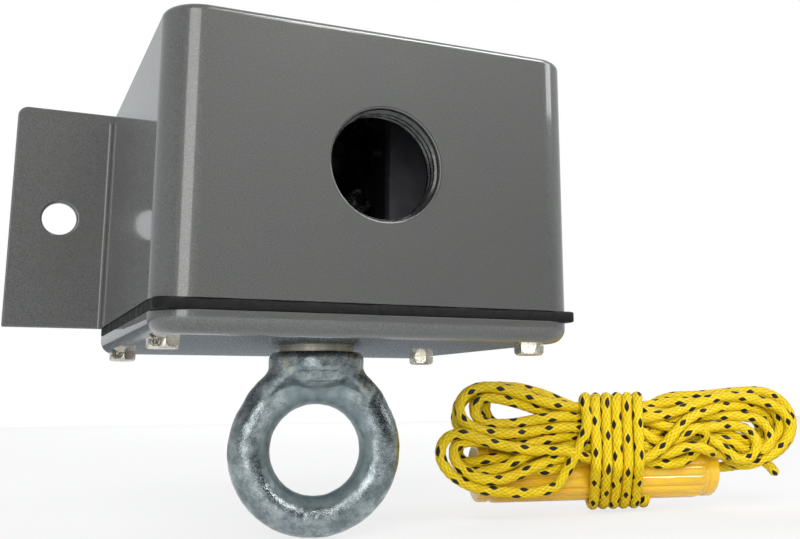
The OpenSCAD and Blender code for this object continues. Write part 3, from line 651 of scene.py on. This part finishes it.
def copies(name, places, pattern, finish):
    """Copies of pattern at the places, made by Geometry Nodes and kept as a plain mesh."""
    tree = bpy.data.node_groups.new(name, "GeometryNodeTree")
    tree.interface.new_socket("Places", in_out="INPUT", socket_type="NodeSocketGeometry")
    choice = tree.interface.new_socket("Pattern", in_out="INPUT", socket_type="NodeSocketObject")
    tree.interface.new_socket("Copies", in_out="OUTPUT", socket_type="NodeSocketGeometry")
    g = Graph(tree)
    start = g.node("NodeGroupInput")
    pattern_in = Value(g, start.socket.node.outputs["Pattern"])
    shape = g.node("GeometryNodeObjectInfo", {}, {"Object": pattern_in}, "Geometry")
    placed = g.node("GeometryNodeInstanceOnPoints", {}, {"Points": start, "Instance": shape})
    whole = g.node("GeometryNodeRealizeInstances", {}, {"Geometry": placed})
    dressed = g.node("GeometryNodeSetMaterial", {}, {"Geometry": whole, "Material": finish})
    g.node("NodeGroupOutput", {}, {"Copies": dressed}, None)
    piece = add_object(name, make_mesh(name, places, [], recalc=False))
    modifier = piece.modifiers.new("copies", "NODES")
    modifier.node_group = tree
    modifier[choice.identifier] = pattern
    evaluated(piece)
    bpy.data.objects.remove(pattern)
    return piece


# ---- forged eye ----

def make_eye():
    """The eye's own shape with its joins grown together and its skin uneven, as forging leaves it."""
    node = frame["nodes"]["pull_eye"]
    mesh = node.data.copy()
    mesh.transform(node.matrix_world)
    centre = (0, BOX_Y, Z_RING)
    skirt = revolve("skirt", [(8.5, 19.8), (12.0, 20.9), (13.2, 22.0), (13.7, 23.6), (13.4, 26)], centre)
    web = shell("web", [[(x, y, z) for x, y in ((-12.5, -5.9), (12.5, -5.9), (12.5, 5.9), (-12.5, 5.9))]
                        for z in (19.6, 24)])
    web.data.transform(Matrix.Translation(Vector(centre) * MM) @ Matrix.Rotation(EYE_TURN, 4, "Z"))
    piece = merged("forged_eye", add_object("eye", mesh), skirt, web)
    remesh = piece.modifiers.new("grow", "REMESH")
    remesh.mode, remesh.voxel_size = "VOXEL", FORGED_GRAIN * MM
    blur = piece.modifiers.new("blur", "SMOOTH")
    blur.factor, blur.iterations = 0.5, 14
    evaluated(piece)
    mesh = piece.data
    count = len(mesh.vertices)
    at, out = np.zeros(count * 3), np.zeros(count * 3)
    mesh.vertices.foreach_get("co", at)
    mesh.vertices.foreach_get("normal", out)
    at, out = at.reshape(-1, 3) / MM, out.reshape(-1, 3)
    p = at - centre  # from the ring's centre, turned so that the ring lies in the plane y = 0
    c, s = math.cos(-EYE_TURN), math.sin(-EYE_TURN)
    p[:, :2] = p[:, :2] @ np.array([[c, s], [-s, c]])
    x, y, z = p.T
    far, middle = np.hypot(x, z), RING_IN_R + BAR_R
    # the bar is thicker inwards, and fuller at the sides and at the shoulders under the collar
    inward = 0.9 * np.clip((middle - far) / BAR_R, 0, 1)
    sideways = 0.4 * np.clip((far - middle) / BAR_R, 0, 1) * np.abs(x) / far * np.clip((22 - z) / 12, 0, 1)
    sideways += 1.0 * np.exp(-((z - 19) / 4) ** 2) * np.clip((np.abs(x) - 9) / 7, 0, 1)
    # a parting line round the ring, uneven skin, and a collar a little wider; its top face stays flat
    swell = sum(np.sin(p @ np.array(way) + shift) for way, shift in
                (((0.5, 0.3, 0.4), 0), ((-0.4, 0.6, 0.3), 2), ((0.9, -0.7, 0.8), 4), ((1.6, 1.1, -1.3), 1))) / 4
    parting = np.clip((far - middle - 5) / 1.5, 0, 1) * (z < 12) * np.exp(-(y / 0.7) ** 2)
    lift = 0.16 * parting - 0.10 - 0.10 * swell
    lift += 0.35 * np.clip((z - 23.5) / 2, 0, 1) * (np.hypot(x, y) > 10)
    lift *= np.abs(at[:, 2] - Z_EYE) >= 0.3
    radial = p * [1, 0, 1] / far[:, None]
    radial[:, :2] = radial[:, :2] @ np.array([[c, -s], [s, c]])
    at += out * lift[:, None] + radial * ((sideways - inward) * (far < 29))[:, None]
    mesh.vertices.foreach_set("co", (at * MM).ravel())
    dress(piece, "pull_rod", "zinc_steel", "pull_eye", angle=180)


# ---- return spring ----

def make_spring():
    """Coil with closed end turns, built at rest; the real spring flattens onto the bush nut as the eye is pulled."""
    per_turn, sides = 40, 10
    steps = np.arange(SPRING_TURNS * per_turn + 1) / per_turn
    gap = np.clip((steps - 0.4) / 0.6, 0, 1) * np.clip((SPRING_TURNS - 0.4 - steps) / 0.6, 0, 1)
    rise = np.cumsum(gap)
    free = Z_SEAT - Z_SPRING - 2 * WIRE_R
    closed = 0.9 * 2 * WIRE_R * (1 - gap) / per_turn
    z = np.cumsum(closed) + rise / rise[-1] * (free - closed.sum())
    z += Z_SPRING + WIRE_R - z[0]
    z = np.minimum(z, Z_SEAT - WIRE_R)
    wire = TURN * np.arange(sides) / sides
    r = SPRING_R + WIRE_R * np.cos(wire)
    piece = shell("coil", [np.stack([r * math.cos(TURN * turn), BOX_Y + r * math.sin(TURN * turn),
                                     height + WIRE_R * np.sin(wire)], 1) for turn, height in zip(steps, z)])
    dress(piece, "box", "spring_steel", "return_spring", angle=60)
    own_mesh(piece)


make_housing()
make_wall_plate()
make_hub()
make_gasket()
make_lid()
make_screws()
make_eye()
make_spring()


# ---- rope ----
# In the hank's own frame: u along the handle, v back, w up. Strands that lie further back
# also lie a little further right, as the wraps that hold them lean.

LEAN, FRONT = 0.40, -13.0


def lay(v, *points):
    """Points (u, w) of a stretch at depth v, or (u, w, v) with a depth of their own."""
    placed = []
    for p in points:
        depth = p[2] if len(p) > 2 else v
        placed.append((p[0] + LEAN * (depth - FRONT), depth, p[1] - 0.05 * (depth - FRONT)))
    return placed


def waist(v, w, way):
    """Straight through the wraps, way -1 to the left and 1 to the right."""
    middle = WRAP_U + 0.8 * LEAN * (v - FRONT)
    return [(middle - way * 11, v, w), (middle, v, w), (middle + way * 11, v, w)]


def bend(v, centre, size, angles, deepen):
    """Points round a bend about centre, going deeper by deepen for each degree."""
    return lay(v, *[(centre[0] + size[0] * math.cos(math.radians(a)),
                     centre[1] + size[1] * math.sin(math.radians(a)), v + (a - 90) * deepen) for a in angles])


def upper_left(v, u, w, r, low):
    """Bend of the upper left lobe, entered on top."""
    return (lay(v, (u + 15, w + r * 0.7)) + bend(v, (u, w), (r, 0.95 * r), (95, 130, 165, 200, 235, 265), 0.012)
            + lay(v + 2, (u + 10, low + 0.2), (u + 20, low + 1.2)))


def right_lobe(v, u, w, size):
    """Bend of the right lobe, entered low."""
    wide, high = 10.0 * size, 10.8 * size
    return (lay(v, (u - 20, w - high * 0.75))
            + bend(v, (u, w), (wide, high), (-110, -75, -38, 0, 38, 75, 105), 0.008)
            + lay(v, (u - 22, w + high * 0.98), (u - 34, w + high * 0.8)))


def rope_route():
    """From the handle's mouth, to and fro through the waist, nearer the front each time."""
    p = [(45.9, 0, HANDLE_W), (50, 0, HANDLE_W), (56, -0.6, -7.4)]
    p += lay(-4, (59.8, -5.2, -2), (67.4, -2.6), (74, 0.8), (78.6, 5.5), (79.6, 11.2), (76, 16.8), (68, 20.2),
             (56.4, 21.0), (45.8, 20.0), (34, 18.4))
    p += waist(1.4, 14.2, -1)
    p += upper_left(-1, -48, 16.7, 8.0, 8.8)
    p += waist(1.4, 10.4, 1)
    p += right_lobe(-4, 66.5, 9.1, 0.93)
    p += waist(-2.2, 14.2, -1)
    p += lay(-4, (-24, 17), (-38, 21), (-50, 22.8), (-58, 20.4), (-62.6, 14.5), (-60.5, 8.5), (-52, 5.2), (-40, 4.8),
             (-26, 8))
    p += waist(-2.2, 10.4, 1)
    p += right_lobe(-6, 63.0, 8.7, 0.8)
    p += waist(-2.2, 6.6, -1)
    p += lay(-5, (-39.5, 2.9)) + bend(-5, (-53.5, -0.6), (7.8, 7.8), (75, 110, 145, 180, 215, 245), -0.004)
    p += lay(-5, (-45, -5.0), (-35.5, -7.0), (-23.5, -6.7))
    p += waist(-5.8, 6.6, 1)
    p += lay(-7.5, (24, 8), (33, 6), (42, 3.5), (50, 0.8), (58, 0.6), (63.5, 4.5), (63.6, 10.6), (58, 14.2),
             (49, 14.6), (38, 14.2), (26, 13.4))
    p += waist(-5.8, 14.2, -1)
    p += upper_left(-7, -43.5, 16.6, 7.4, 8.6)
    p += waist(-5.8, 10.4, 1)
    p += lay(-10, (28, 9.2), (37.7, 6.9), (47.4, 4.4), (57, 1.4), (65.5, 1.6), (71.2, 6.2), (70.6, 12.8), (64.0, 16.8),
             (54, 17.5), (42, 16.8), (30, 15.4))
    p += waist(-9.4, 14.2, -1)
    p += lay(-9.5, (-24, 16.2), (-36, 19), (-47, 21.2), (-56, 21.4), (-61.2, 17.2), (-60.6, 11.5), (-56, 7.0),
             (-48, 4.4), (-38, 5.6), (-24.2, 9.4))
    p += waist(-9.4, 10.4, 1)
    p += lay(-13, (20, 9.0), (29.8, 8.2), (37.7, 7.4), (45.0, 8.9), (51.9, 9.3), (57.5, 6.4), (59.6, 0.9),
             (56.5, -3.4), (50, -3.6), (44, 0.0, -15), (38, 3.6), (28, 6.0, -11.0))
    p += waist(-9.4, 6.6, -1)
    p += lay(-10, (-21, 5.4), (-34, 4.4), (-46, 5.4), (-55, 6.6), (-61.5, 4.2), (-63, -1.8), (-58.6, -6.6),
             (-51.8, -7.2), (-44, -5.2), (-34, -1.6), (-22, 1.8))
    p += waist(-13.0, 3.2, 1)
    p += lay(-12.5, (16, 6.0), (29.8, 11.4), (43.4, 14.4), (53.3, 14.4), (61.8, 11.8), (66.2, 6.6), (63.2, 0.6),
             (56, -1.6), (48, 0.6, -9.5), (40, 4.5, -8.2), (28, 8.0, -8.2))
    p += waist(-9.4, 8.6, -1)
    p += lay(-13, (-21, 11.4), (-31.2, 16.4, -12), (-38.8, 18.6, -12), (-45.6, 20.6, -12), (-51.8, 19.4, -12),
             (-54.0, 14.6), (-50.6, 10.4), (-43.2, 9.6), (-34.7, 10.9), (-24.1, 12.6))
    p += waist(-13, 10.8, 1)
    p += lay(-13.5, (15.4, 10.6), (23.0, 11.6), (30.9, 14.6), (36.2, 16.6), (45.6, 17.8), (56.2, 18.6), (66.0, 17.4),
             (74.0, 12.6), (75.4, 5.6), (70.0, -0.4), (61, -3.2), (52, -3.0, -11), (47, 0.5, -8), (40, 6, -7),
             (28, 11, -9))
    p += waist(-13, 14.6, -1)
    p += lay(-14, (-15.3, 15.6), (-27.6, 18.1), (-39.7, 21.5), (-47.7, 23.3), (-53.3, 23.2), (-58.6, 19.6),
             (-59.2, 13.6), (-55.0, 8.6), (-48.7, 6.4), (-41.2, 6.2), (-32.7, 7.6), (-22.1, 9.2))
    p += waist(-13, 7.2, 1)
    p += lay(-14.5, (15.5, 2.6), (20.7, 3.6), (25.8, 7.6), (31.4, 9.6), (36.3, 8.2), (38.2, 3.4), (35.4, -1.2),
             (30.0, -3.6), (23.8, -4.2), (18.7, -4.2))
    p += waist(-13, -0.6, -1)
    p += lay(-13, (-17.8, -2.4), (-31.2, -5.3), (-38.8, -8.4, -14), (-45.5, -10.0, -14.5), (-52.7, -8.6, -14.5),
             (-59.3, -4.8, -14), (-61.6, 1.2), (-58.5, 5.4), (-51.3, 5.4), (-43.3, 3.6), (-33.9, 3.2), (-24.3, 4.6))
    p += waist(-13, 3.4, 1)
    p += lay(-13, (16, -3.0, -15), (24, -0.5, -16.5), (34, 2.6, -17), (43, 0.5), (50, -2, -12), (58, -2.6, -9),
             (66, 0.6, -8), (70.5, 6, -8), (68, 12.4, -9), (60, 16.0, -10.5), (48, 16.2, -12), (36, 13, -14),
             (24, 6, -15.5))
    p += waist(-14.5, -3.4, -1)
    p += lay(-14.5, (-21, -0.8), (-38, 2.4), (-50.6, 5.0), (-58.6, 7.0), (-64.5, 5.8), (-67.2, 1.0), (-65.6, -4.2),
             (-60.2, -8.4), (-53.7, -11.2), (-43.6, -13.4, -15), (-34.1, -14.6, -15), (-26.7, -13.9, -15.5),
             (-21.5, -11.6, -16), (-17.5, -8.4, -16.5))
    return p


def even_line(line, step):
    """The line through the same places in even steps."""
    gaps = np.linalg.norm(np.diff(line, axis=0), axis=1)
    along = np.concatenate([[0], np.cumsum(gaps)])
    at = np.linspace(0, along[-1], int(round(along[-1] / step)) + 1)
    return np.stack([np.interp(at, along, line[:, k]) for k in range(3)], 1)


def curve_through(points, step):
    """Catmull-Rom curve through the points, in even steps."""
    p = np.array(points, float)
    p = np.vstack([2 * p[0] - p[1], p, 2 * p[-1] - p[-2]])
    parts = []
    for a, b, c, d in zip(p[:-3], p[1:-2], p[2:-1], p[3:]):
        t = np.linspace(0, 1, max(2, int(np.linalg.norm(c - b) / (step / 4))), endpoint=False)[:, None]
        parts.append(0.5 * (2 * b + (c - a) * t + (2 * a - 5 * b + 4 * c - d) * t ** 2
                            + (3 * b - a - 3 * c + d) * t ** 3))
    return even_line(np.vstack(parts + [p[-2][None]]), step)


def close_pairs(x, near, reach):
    """Pairs of points within reach, more than near steps apart along the rope."""
    square = sum((x[:, None, k] - x[None, :, k]) ** 2 for k in range(3))
    i, j = np.nonzero(square < reach ** 2)
    keep = (j - i) > near
    return i[keep], j[keep]


def settle(x, rounds=240):
    """Lets the strands push each other apart to a diameter, off the handle, and stay smooth."""
    home, count = x.copy(), len(x)
    step = np.linalg.norm(np.diff(x, axis=0), axis=1).mean()
    near = int(math.ceil(2.2 * ROPE_D / step))
    still = 3  # points held in the handle's mouth
    for turn in range(rounds):
        if turn % 6 == 0:
            i, j = close_pairs(x, near, ROPE_D + 3)
        gap = x[i] - x[j]
        dist = np.linalg.norm(gap, axis=1) + 1e-9
        over = np.maximum(0, ROPE_D - dist)
        push = gap * (over / dist)[:, None] / 2
        hits = np.bincount(i, over > 0, count) + np.bincount(j, over > 0, count)
        moved = np.stack([np.bincount(i, push[:, k], count) - np.bincount(j, push[:, k], count)
                          for k in range(3)], 1)
        x = x + 0.95 * moved / np.maximum(1, hits)[:, None]
        beside = np.abs(x[:, 0] - HANDLE_U) < HANDLE_L / 2 + 0.5
        r = np.hypot(x[:, 1], x[:, 2] - HANDLE_W) + 1e-9
        need = np.where(beside, np.maximum(0, HANDLE_R + ROPE_D / 2 - r) / r, 0.0)
        need[:2 * still] = 0
        x[:, 1] += x[:, 1] * need
        x[:, 2] += (x[:, 2] - HANDLE_W) * need
        stiff = 0.5 if turn < rounds - 30 else 0.2
        x[2:-2] += stiff * (-x[:-4] + 4 * x[1:-3] - 6 * x[2:-2] + 4 * x[3:-1] - x[4:]) / 8
        if turn < rounds - 60:
            x += 0.012 * (home - x)
        x[:still] = home[:still]
        for _ in range(2):
            edge = np.diff(x, axis=0)
            long = np.linalg.norm(edge, axis=1)
            pull = edge * ((long - step) / long)[:, None] / 4
            x[1:-1] += pull[1:] - pull[:-1]
    return x


def wraps_round(x, start, turns):
    """Turns wound tight round the strands and the handle, from the angle start, front side rising."""
    th = around(180)
    normal = np.stack([np.cos(th), np.sin(th)], 1)
    hull = []
    for k in range(WRAP_TURNS + 1):
        u = WRAP_U + (k - WRAP_TURNS / 2) * WRAP_PITCH
        leaning = x[:, 0] - 0.8 * LEAN * (x[:, 1] - FRONT)
        held = x[np.abs(leaning - u) < 2.6][:, 1:]
        reach = (held @ normal.T).max(0) + ROPE_D / 2
        reach = np.maximum(reach, normal @ np.array([0, HANDLE_W]) + HANDLE_R)
        hull.append((reach + np.roll(reach, 1) + np.roll(reach, -1)) / 3 + ROPE_D / 2)
    line = []
    for step in range(int(turns * 60) + 1):
        f = step / 60
        low = min(int(f), WRAP_TURNS - 1)
        reach = hull[low] * (1 - (f - low)) + hull[low + 1] * (f - low)
        slope = (np.roll(reach, -1) - np.roll(reach, 1)) / (2 * (th[1] - th[0]))
        a = (start - TURN * f) % TURN
        h = np.interp(a, th, reach, period=TURN)
        s = np.interp(a, th, slope, period=TURN)
        v = h * math.cos(a) - s * math.sin(a)
        w = h * math.sin(a) + s * math.cos(a)
        line.append((WRAP_U + (f - WRAP_TURNS / 2) * WRAP_PITCH + 0.8 * LEAN * (v - FRONT), v, w))
    return np.array(line)


def from_hank(points):
    """Points of the hank's frame in the part's frame, in millimetres."""
    points = np.asarray(points, float)
    c, s = math.cos(HANK_TURN), math.sin(HANK_TURN)
    return HANK_AT + points @ np.array([[c, s, 0], [-s, c, 0], [0, 0, 1]])


def rope_line(step=0.68, least_bend=4.5):
    """Strands, wraps and tail as one line in even steps, eased where it bends too tightly."""
    strands = settle(curve_through(rope_route(), 2.5))
    wound = wraps_round(strands, math.radians(215), 5.9)
    last = wound[-1]
    tail = [last + (1.6, -0.2, 5.0), last + (5.0, 0.4, 10.5), last + (11.5, 1.0, 14.0), last + (21, 1.5, 16.0),
            last + (33, 1.5, 17.4), last + (45, 1.5, 17.2), last + (54, 1.5, 13.8), last + (59, 1.5, 8.8)]
    line = curve_through(np.vstack([strands[:-2], wound[8::3], np.array(tail)]), step)
    for turn in range(160):
        bow = line[:-2] - 2 * line[1:-1] + line[2:]
        kink = np.clip(np.linalg.norm(bow, axis=1) / step ** 2 * least_bend - 1, 0, 1)
        ease = np.convolve(kink, np.ones(13), "same").clip(0, 1) if turn > 5 else np.ones(len(kink))
        line[1:-1] += 0.25 * ease[:, None] * bow
    return even_line(line, step)


def rope_mesh(line, sides=12):
    """Tube along the line, its skin raised a little at every pick, with the lay in its UVs."""
    along = np.concatenate([[0], np.cumsum(np.linalg.norm(np.diff(line, axis=0), axis=1))])
    ahead = np.gradient(line, axis=0)
    ahead /= np.linalg.norm(ahead, axis=1)[:, None]
    side = np.zeros_like(line)
    side[0] = np.cross(ahead[0], (0, 0, 1))
    for i in range(1, len(line)):
        s = side[i - 1] - ahead[i] * (side[i - 1] @ ahead[i])
        side[i] = s / np.linalg.norm(s)
    up = np.cross(ahead, side)
    angle = TURN * np.arange(sides) / sides
    grow = np.ones(len(line))
    for k, share in enumerate((0.25, 0.7, 0.92)):
        grow[k] = grow[-1 - k] = share
    lump = 1 + 0.03 * np.cos(along[:, None] * TURN / PICK + (np.arange(sides) % 2)[None, :] * math.pi)
    r = ROPE_D / 2 * grow[:, None] * lump
    rings = line[:, None, :] + r[:, :, None] * (side[:, None, :] * np.cos(angle)[None, :, None]
                                                + up[:, None, :] * np.sin(angle)[None, :, None])
    points, faces = rings_mesh(rings)
    mesh = make_mesh("rope", from_hank(points), faces, recalc=False)
    uv = []
    for a, b in zip(along, along[1:]):
        for k in range(sides):
            uv += [a, k / sides, a, (k + 1) / sides, b, (k + 1) / sides, b, k / sides]
    for end in (along[0], along[-1]):
        for k in range(sides):
            uv += [end, k / sides]
    mesh.uv_layers.new(name="lay").data.foreach_set("uv", uv)
    return mesh


ROPE_LINE = rope_line()
rope = add_object("pull_rope", rope_mesh(ROPE_LINE))
dress(rope, "box", "yellow_rope", "rope_hank", rope_finish(), angle=180)
ROPE_PATH = from_hank(even_line(ROPE_LINE, 3.0)) * MM
tuple(from_hank([(45.9, 0, HANDLE_W)])[0] * MM)


# ---- handle ----

def along_handle(rows):
    """Rings of (distance from the handle's left end, across, up) in the part's frame."""
    rows = np.asarray(rows, float) + (HANDLE_U - HANDLE_L / 2, 0, HANDLE_W)
    return from_hank(rows.reshape(-1, 3)).reshape(rows.shape)


def make_grip():
    """Tube with wide convex ribs between narrow grooves, their ends rounded before the necks."""
    angle, round_l = around(HANDLE_RIBS * 14), 2.4
    off = np.abs(((angle * HANDLE_RIBS / TURN + 0.5) % 1) * 2 - 1)
    first, last = COLLAR_L + NECK_L, HANDLE_L - COLLAR_L - NECK_L
    ends = round_l * (1 - np.cos(np.linspace(0, math.pi / 2, 10)))
    places = np.concatenate([[COLLAR_L - 1, first - 0.01], first + ends, np.linspace(first + 3, last - 3, 14),
                             last - ends[::-1], [last + 0.01, HANDLE_L - COLLAR_L + 1]])
    rows = []
    for place in places:
        t = min(max(min(place - first, last - place) / round_l, 0), 1)
        full = math.sqrt(1 - (1 - t) ** 2)
        across = np.minimum(off / (0.35 + 0.65 * full), 1)
        land = (1 - 0.65 * across ** 2 - 0.35 * across ** 6) * full
        rows.append(circle(angle, RIB_TOP_R - RIB_H * (1 - land), place, 0))
    rows += [circle(angle, BORE_R, place, 0) for place in (places[-1], places[0])]
    dress(shell("ribbed_grip", along_handle(rows), joined=True), "box", "amber_handle", "handle_grip", angle=60)


def make_collars():
    """The plain ends of the handle, each turned soft at its outer corner."""
    corner_r, bevel = 1.2, 0.4
    profile = [(BORE_R, bevel), (BORE_R + bevel, 0)]
    profile += [(HANDLE_R - x, corner_r - z) for x, z in reversed(soft_edge(corner_r, 6))]
    profile += [(HANDLE_R, COLLAR_L - bevel), (HANDLE_R - bevel, COLLAR_L), (BORE_R, COLLAR_L)]
    ends = []
    for side in (0, 1):
        rows = [circle(around(96), r, HANDLE_L - h if side else h, 0) for r, h in profile]
        ends.append(shell("end", along_handle(rows), joined=True))
    dress(merged("handle_ends", *ends), "box", "amber_handle", "handle_collars", angle=40)


make_grip()
make_collars()


# ---- floor and light ----

def ray_kinds(graph):
    """1 on camera rays, and 1 on mirror and see-through rays."""
    camera = graph.node("ShaderNodeLightPath", output="Is Camera Ray")
    ends = camera.socket.node.outputs
    return camera, Value(graph, ends["Is Glossy Ray"]).larger(Value(graph, ends["Is Transmission Ray"]))


def make_floor():
    """Pale floor that keeps the shadow, ends behind the wall and looks darker there in reflections; near the eye it
    glows, seen only in reflections, as a painted bright reflection.
    """
    z, far, back = cad_box[0][2] / MM - 0.4, 6000, 1450
    points = [(-far, -far, z), (far, -far, z), (far, back, z), (-far, back, z)]
    floor = add_object("floor", make_mesh("floor", points, [(0, 1, 2, 3)], recalc=False))
    material = bpy.data.materials.new("pale_floor")
    material.use_nodes = True
    g = Graph(material.node_tree)
    camera, mirrored = ray_kinds(g)
    x, y = g.axes(g.node("ShaderNodeTexCoord", output="Object"))[:2]
    far = y.ramp(0.1, 0.4)
    near = x.ramp(0.10, 0.02) * (1 - far)
    colour = g.node("ShaderNodeMix", {"data_type": "RGBA"},
                    {0: far * mirrored, 6: (0.8, 0.8, 0.8), 7: (0.10, 0.115, 0.13)}, 2)
    base = g.node("ShaderNodeBsdfDiffuse", {}, {"Color": colour})
    # glow seen only in reflections near the eye: painted bright reflection, no lamp
    bright = g.node("ShaderNodeEmission", {}, {"Color": (0.92, 0.97, 1), "Strength": 2.0})
    lit = g.node("ShaderNodeMixShader", {}, {0: mirrored * near * 0.3, 1: base, 2: bright})
    glow = g.node("ShaderNodeEmission", {}, {"Color": (1, 1, 1), "Strength": 1.0})
    both = g.node("ShaderNodeMixShader", {}, {0: camera * 0.72, 1: lit, 2: glow})
    g.node("ShaderNodeOutputMaterial", {}, {"Surface": both}, None)
    floor.data.materials.append(material)


def make_world():
    """White to the camera; in reflections bright behind the wall and at the sides, dim behind the camera."""
    world = bpy.data.worlds.new("studio")
    bpy.context.scene.world = world
    world.use_nodes = True
    g = Graph(world.node_tree)
    camera, mirrored = ray_kinds(g)
    x, y, z = g.axes(g.node("ShaderNodeTexCoord", output="Generated"))
    back = (y + abs(x) * 0.45).ramp(-0.25, 0.45, 0.04, 0.7)
    above = z.ramp(0.25, 0.8, 0.0, 0.35)
    strength = 0.42 * (1 - mirrored) + back.larger(above) * mirrored
    soft = g.node("ShaderNodeBackground", {}, {"Color": (0.95, 0.98, 1.0), "Strength": strength})
    white = g.node("ShaderNodeBackground", {}, {"Color": (1, 1, 1), "Strength": 1.0})
    both = g.node("ShaderNodeMixShader", {}, {0: camera, 1: soft, 2: white})
    g.node("ShaderNodeOutputWorld", {}, {"Surface": both}, None)


def add_lamp(name, at, to, size, watts, diffuse=True, glossy=True, spread=180):
    """Soft box; one without glossy lights surfaces but isn't mirrored, one without diffuse is only mirrored."""
    data = bpy.data.lights.new(name, "AREA")
    data.shape, data.size, data.size_y = "RECTANGLE", size[0], size[1]
    data.energy, data.spread = watts, math.radians(spread)
    lamp = bpy.data.objects.new(name, data)
    bpy.context.scene.collection.objects.link(lamp)
    lamp.location = at
    lamp.rotation_euler = (Vector(to) - Vector(at)).to_track_quat("-Z", "Y").to_euler()
    lamp.visible_diffuse, lamp.visible_glossy = diffuse, glossy


make_floor()
make_world()
add_lamp("key", (-0.5, -1.1, 0.6), (0, -0.06, -0.03), (0.7, 0.9), 14.5, glossy=False)
add_lamp("key_mirrored", (-0.66, -1.1, 0.28), (0, -0.06, -0.03), (0.6, 0.8), 6, diffuse=False)
add_lamp("fill", (1.3, -0.8, 0.75), (0.05, -0.06, -0.05), (0.6, 0.6), 7)
add_lamp("low", (-0.3, -0.9, -0.05), (0, -0.06, -0.08), (0.9, 0.25), 4, glossy=False)
add_lamp("strip", (0.46, -0.65, 0.89), (0.12, -0.05, -0.09), (0.6, 0.35), 11, diffuse=False)
add_lamp("ribs", (0.42, -0.93, 0.44), (0.14, -0.05, -0.09), (0.5, 0.2), 0.06, diffuse=False, spread=10)
add_lamp("back", (0.5, 1.3, 0.9), (0, 0, 0), (0.8, 0.8), 12, glossy=False)

scene = bpy.context.scene
scene.view_settings.view_transform = "Standard"
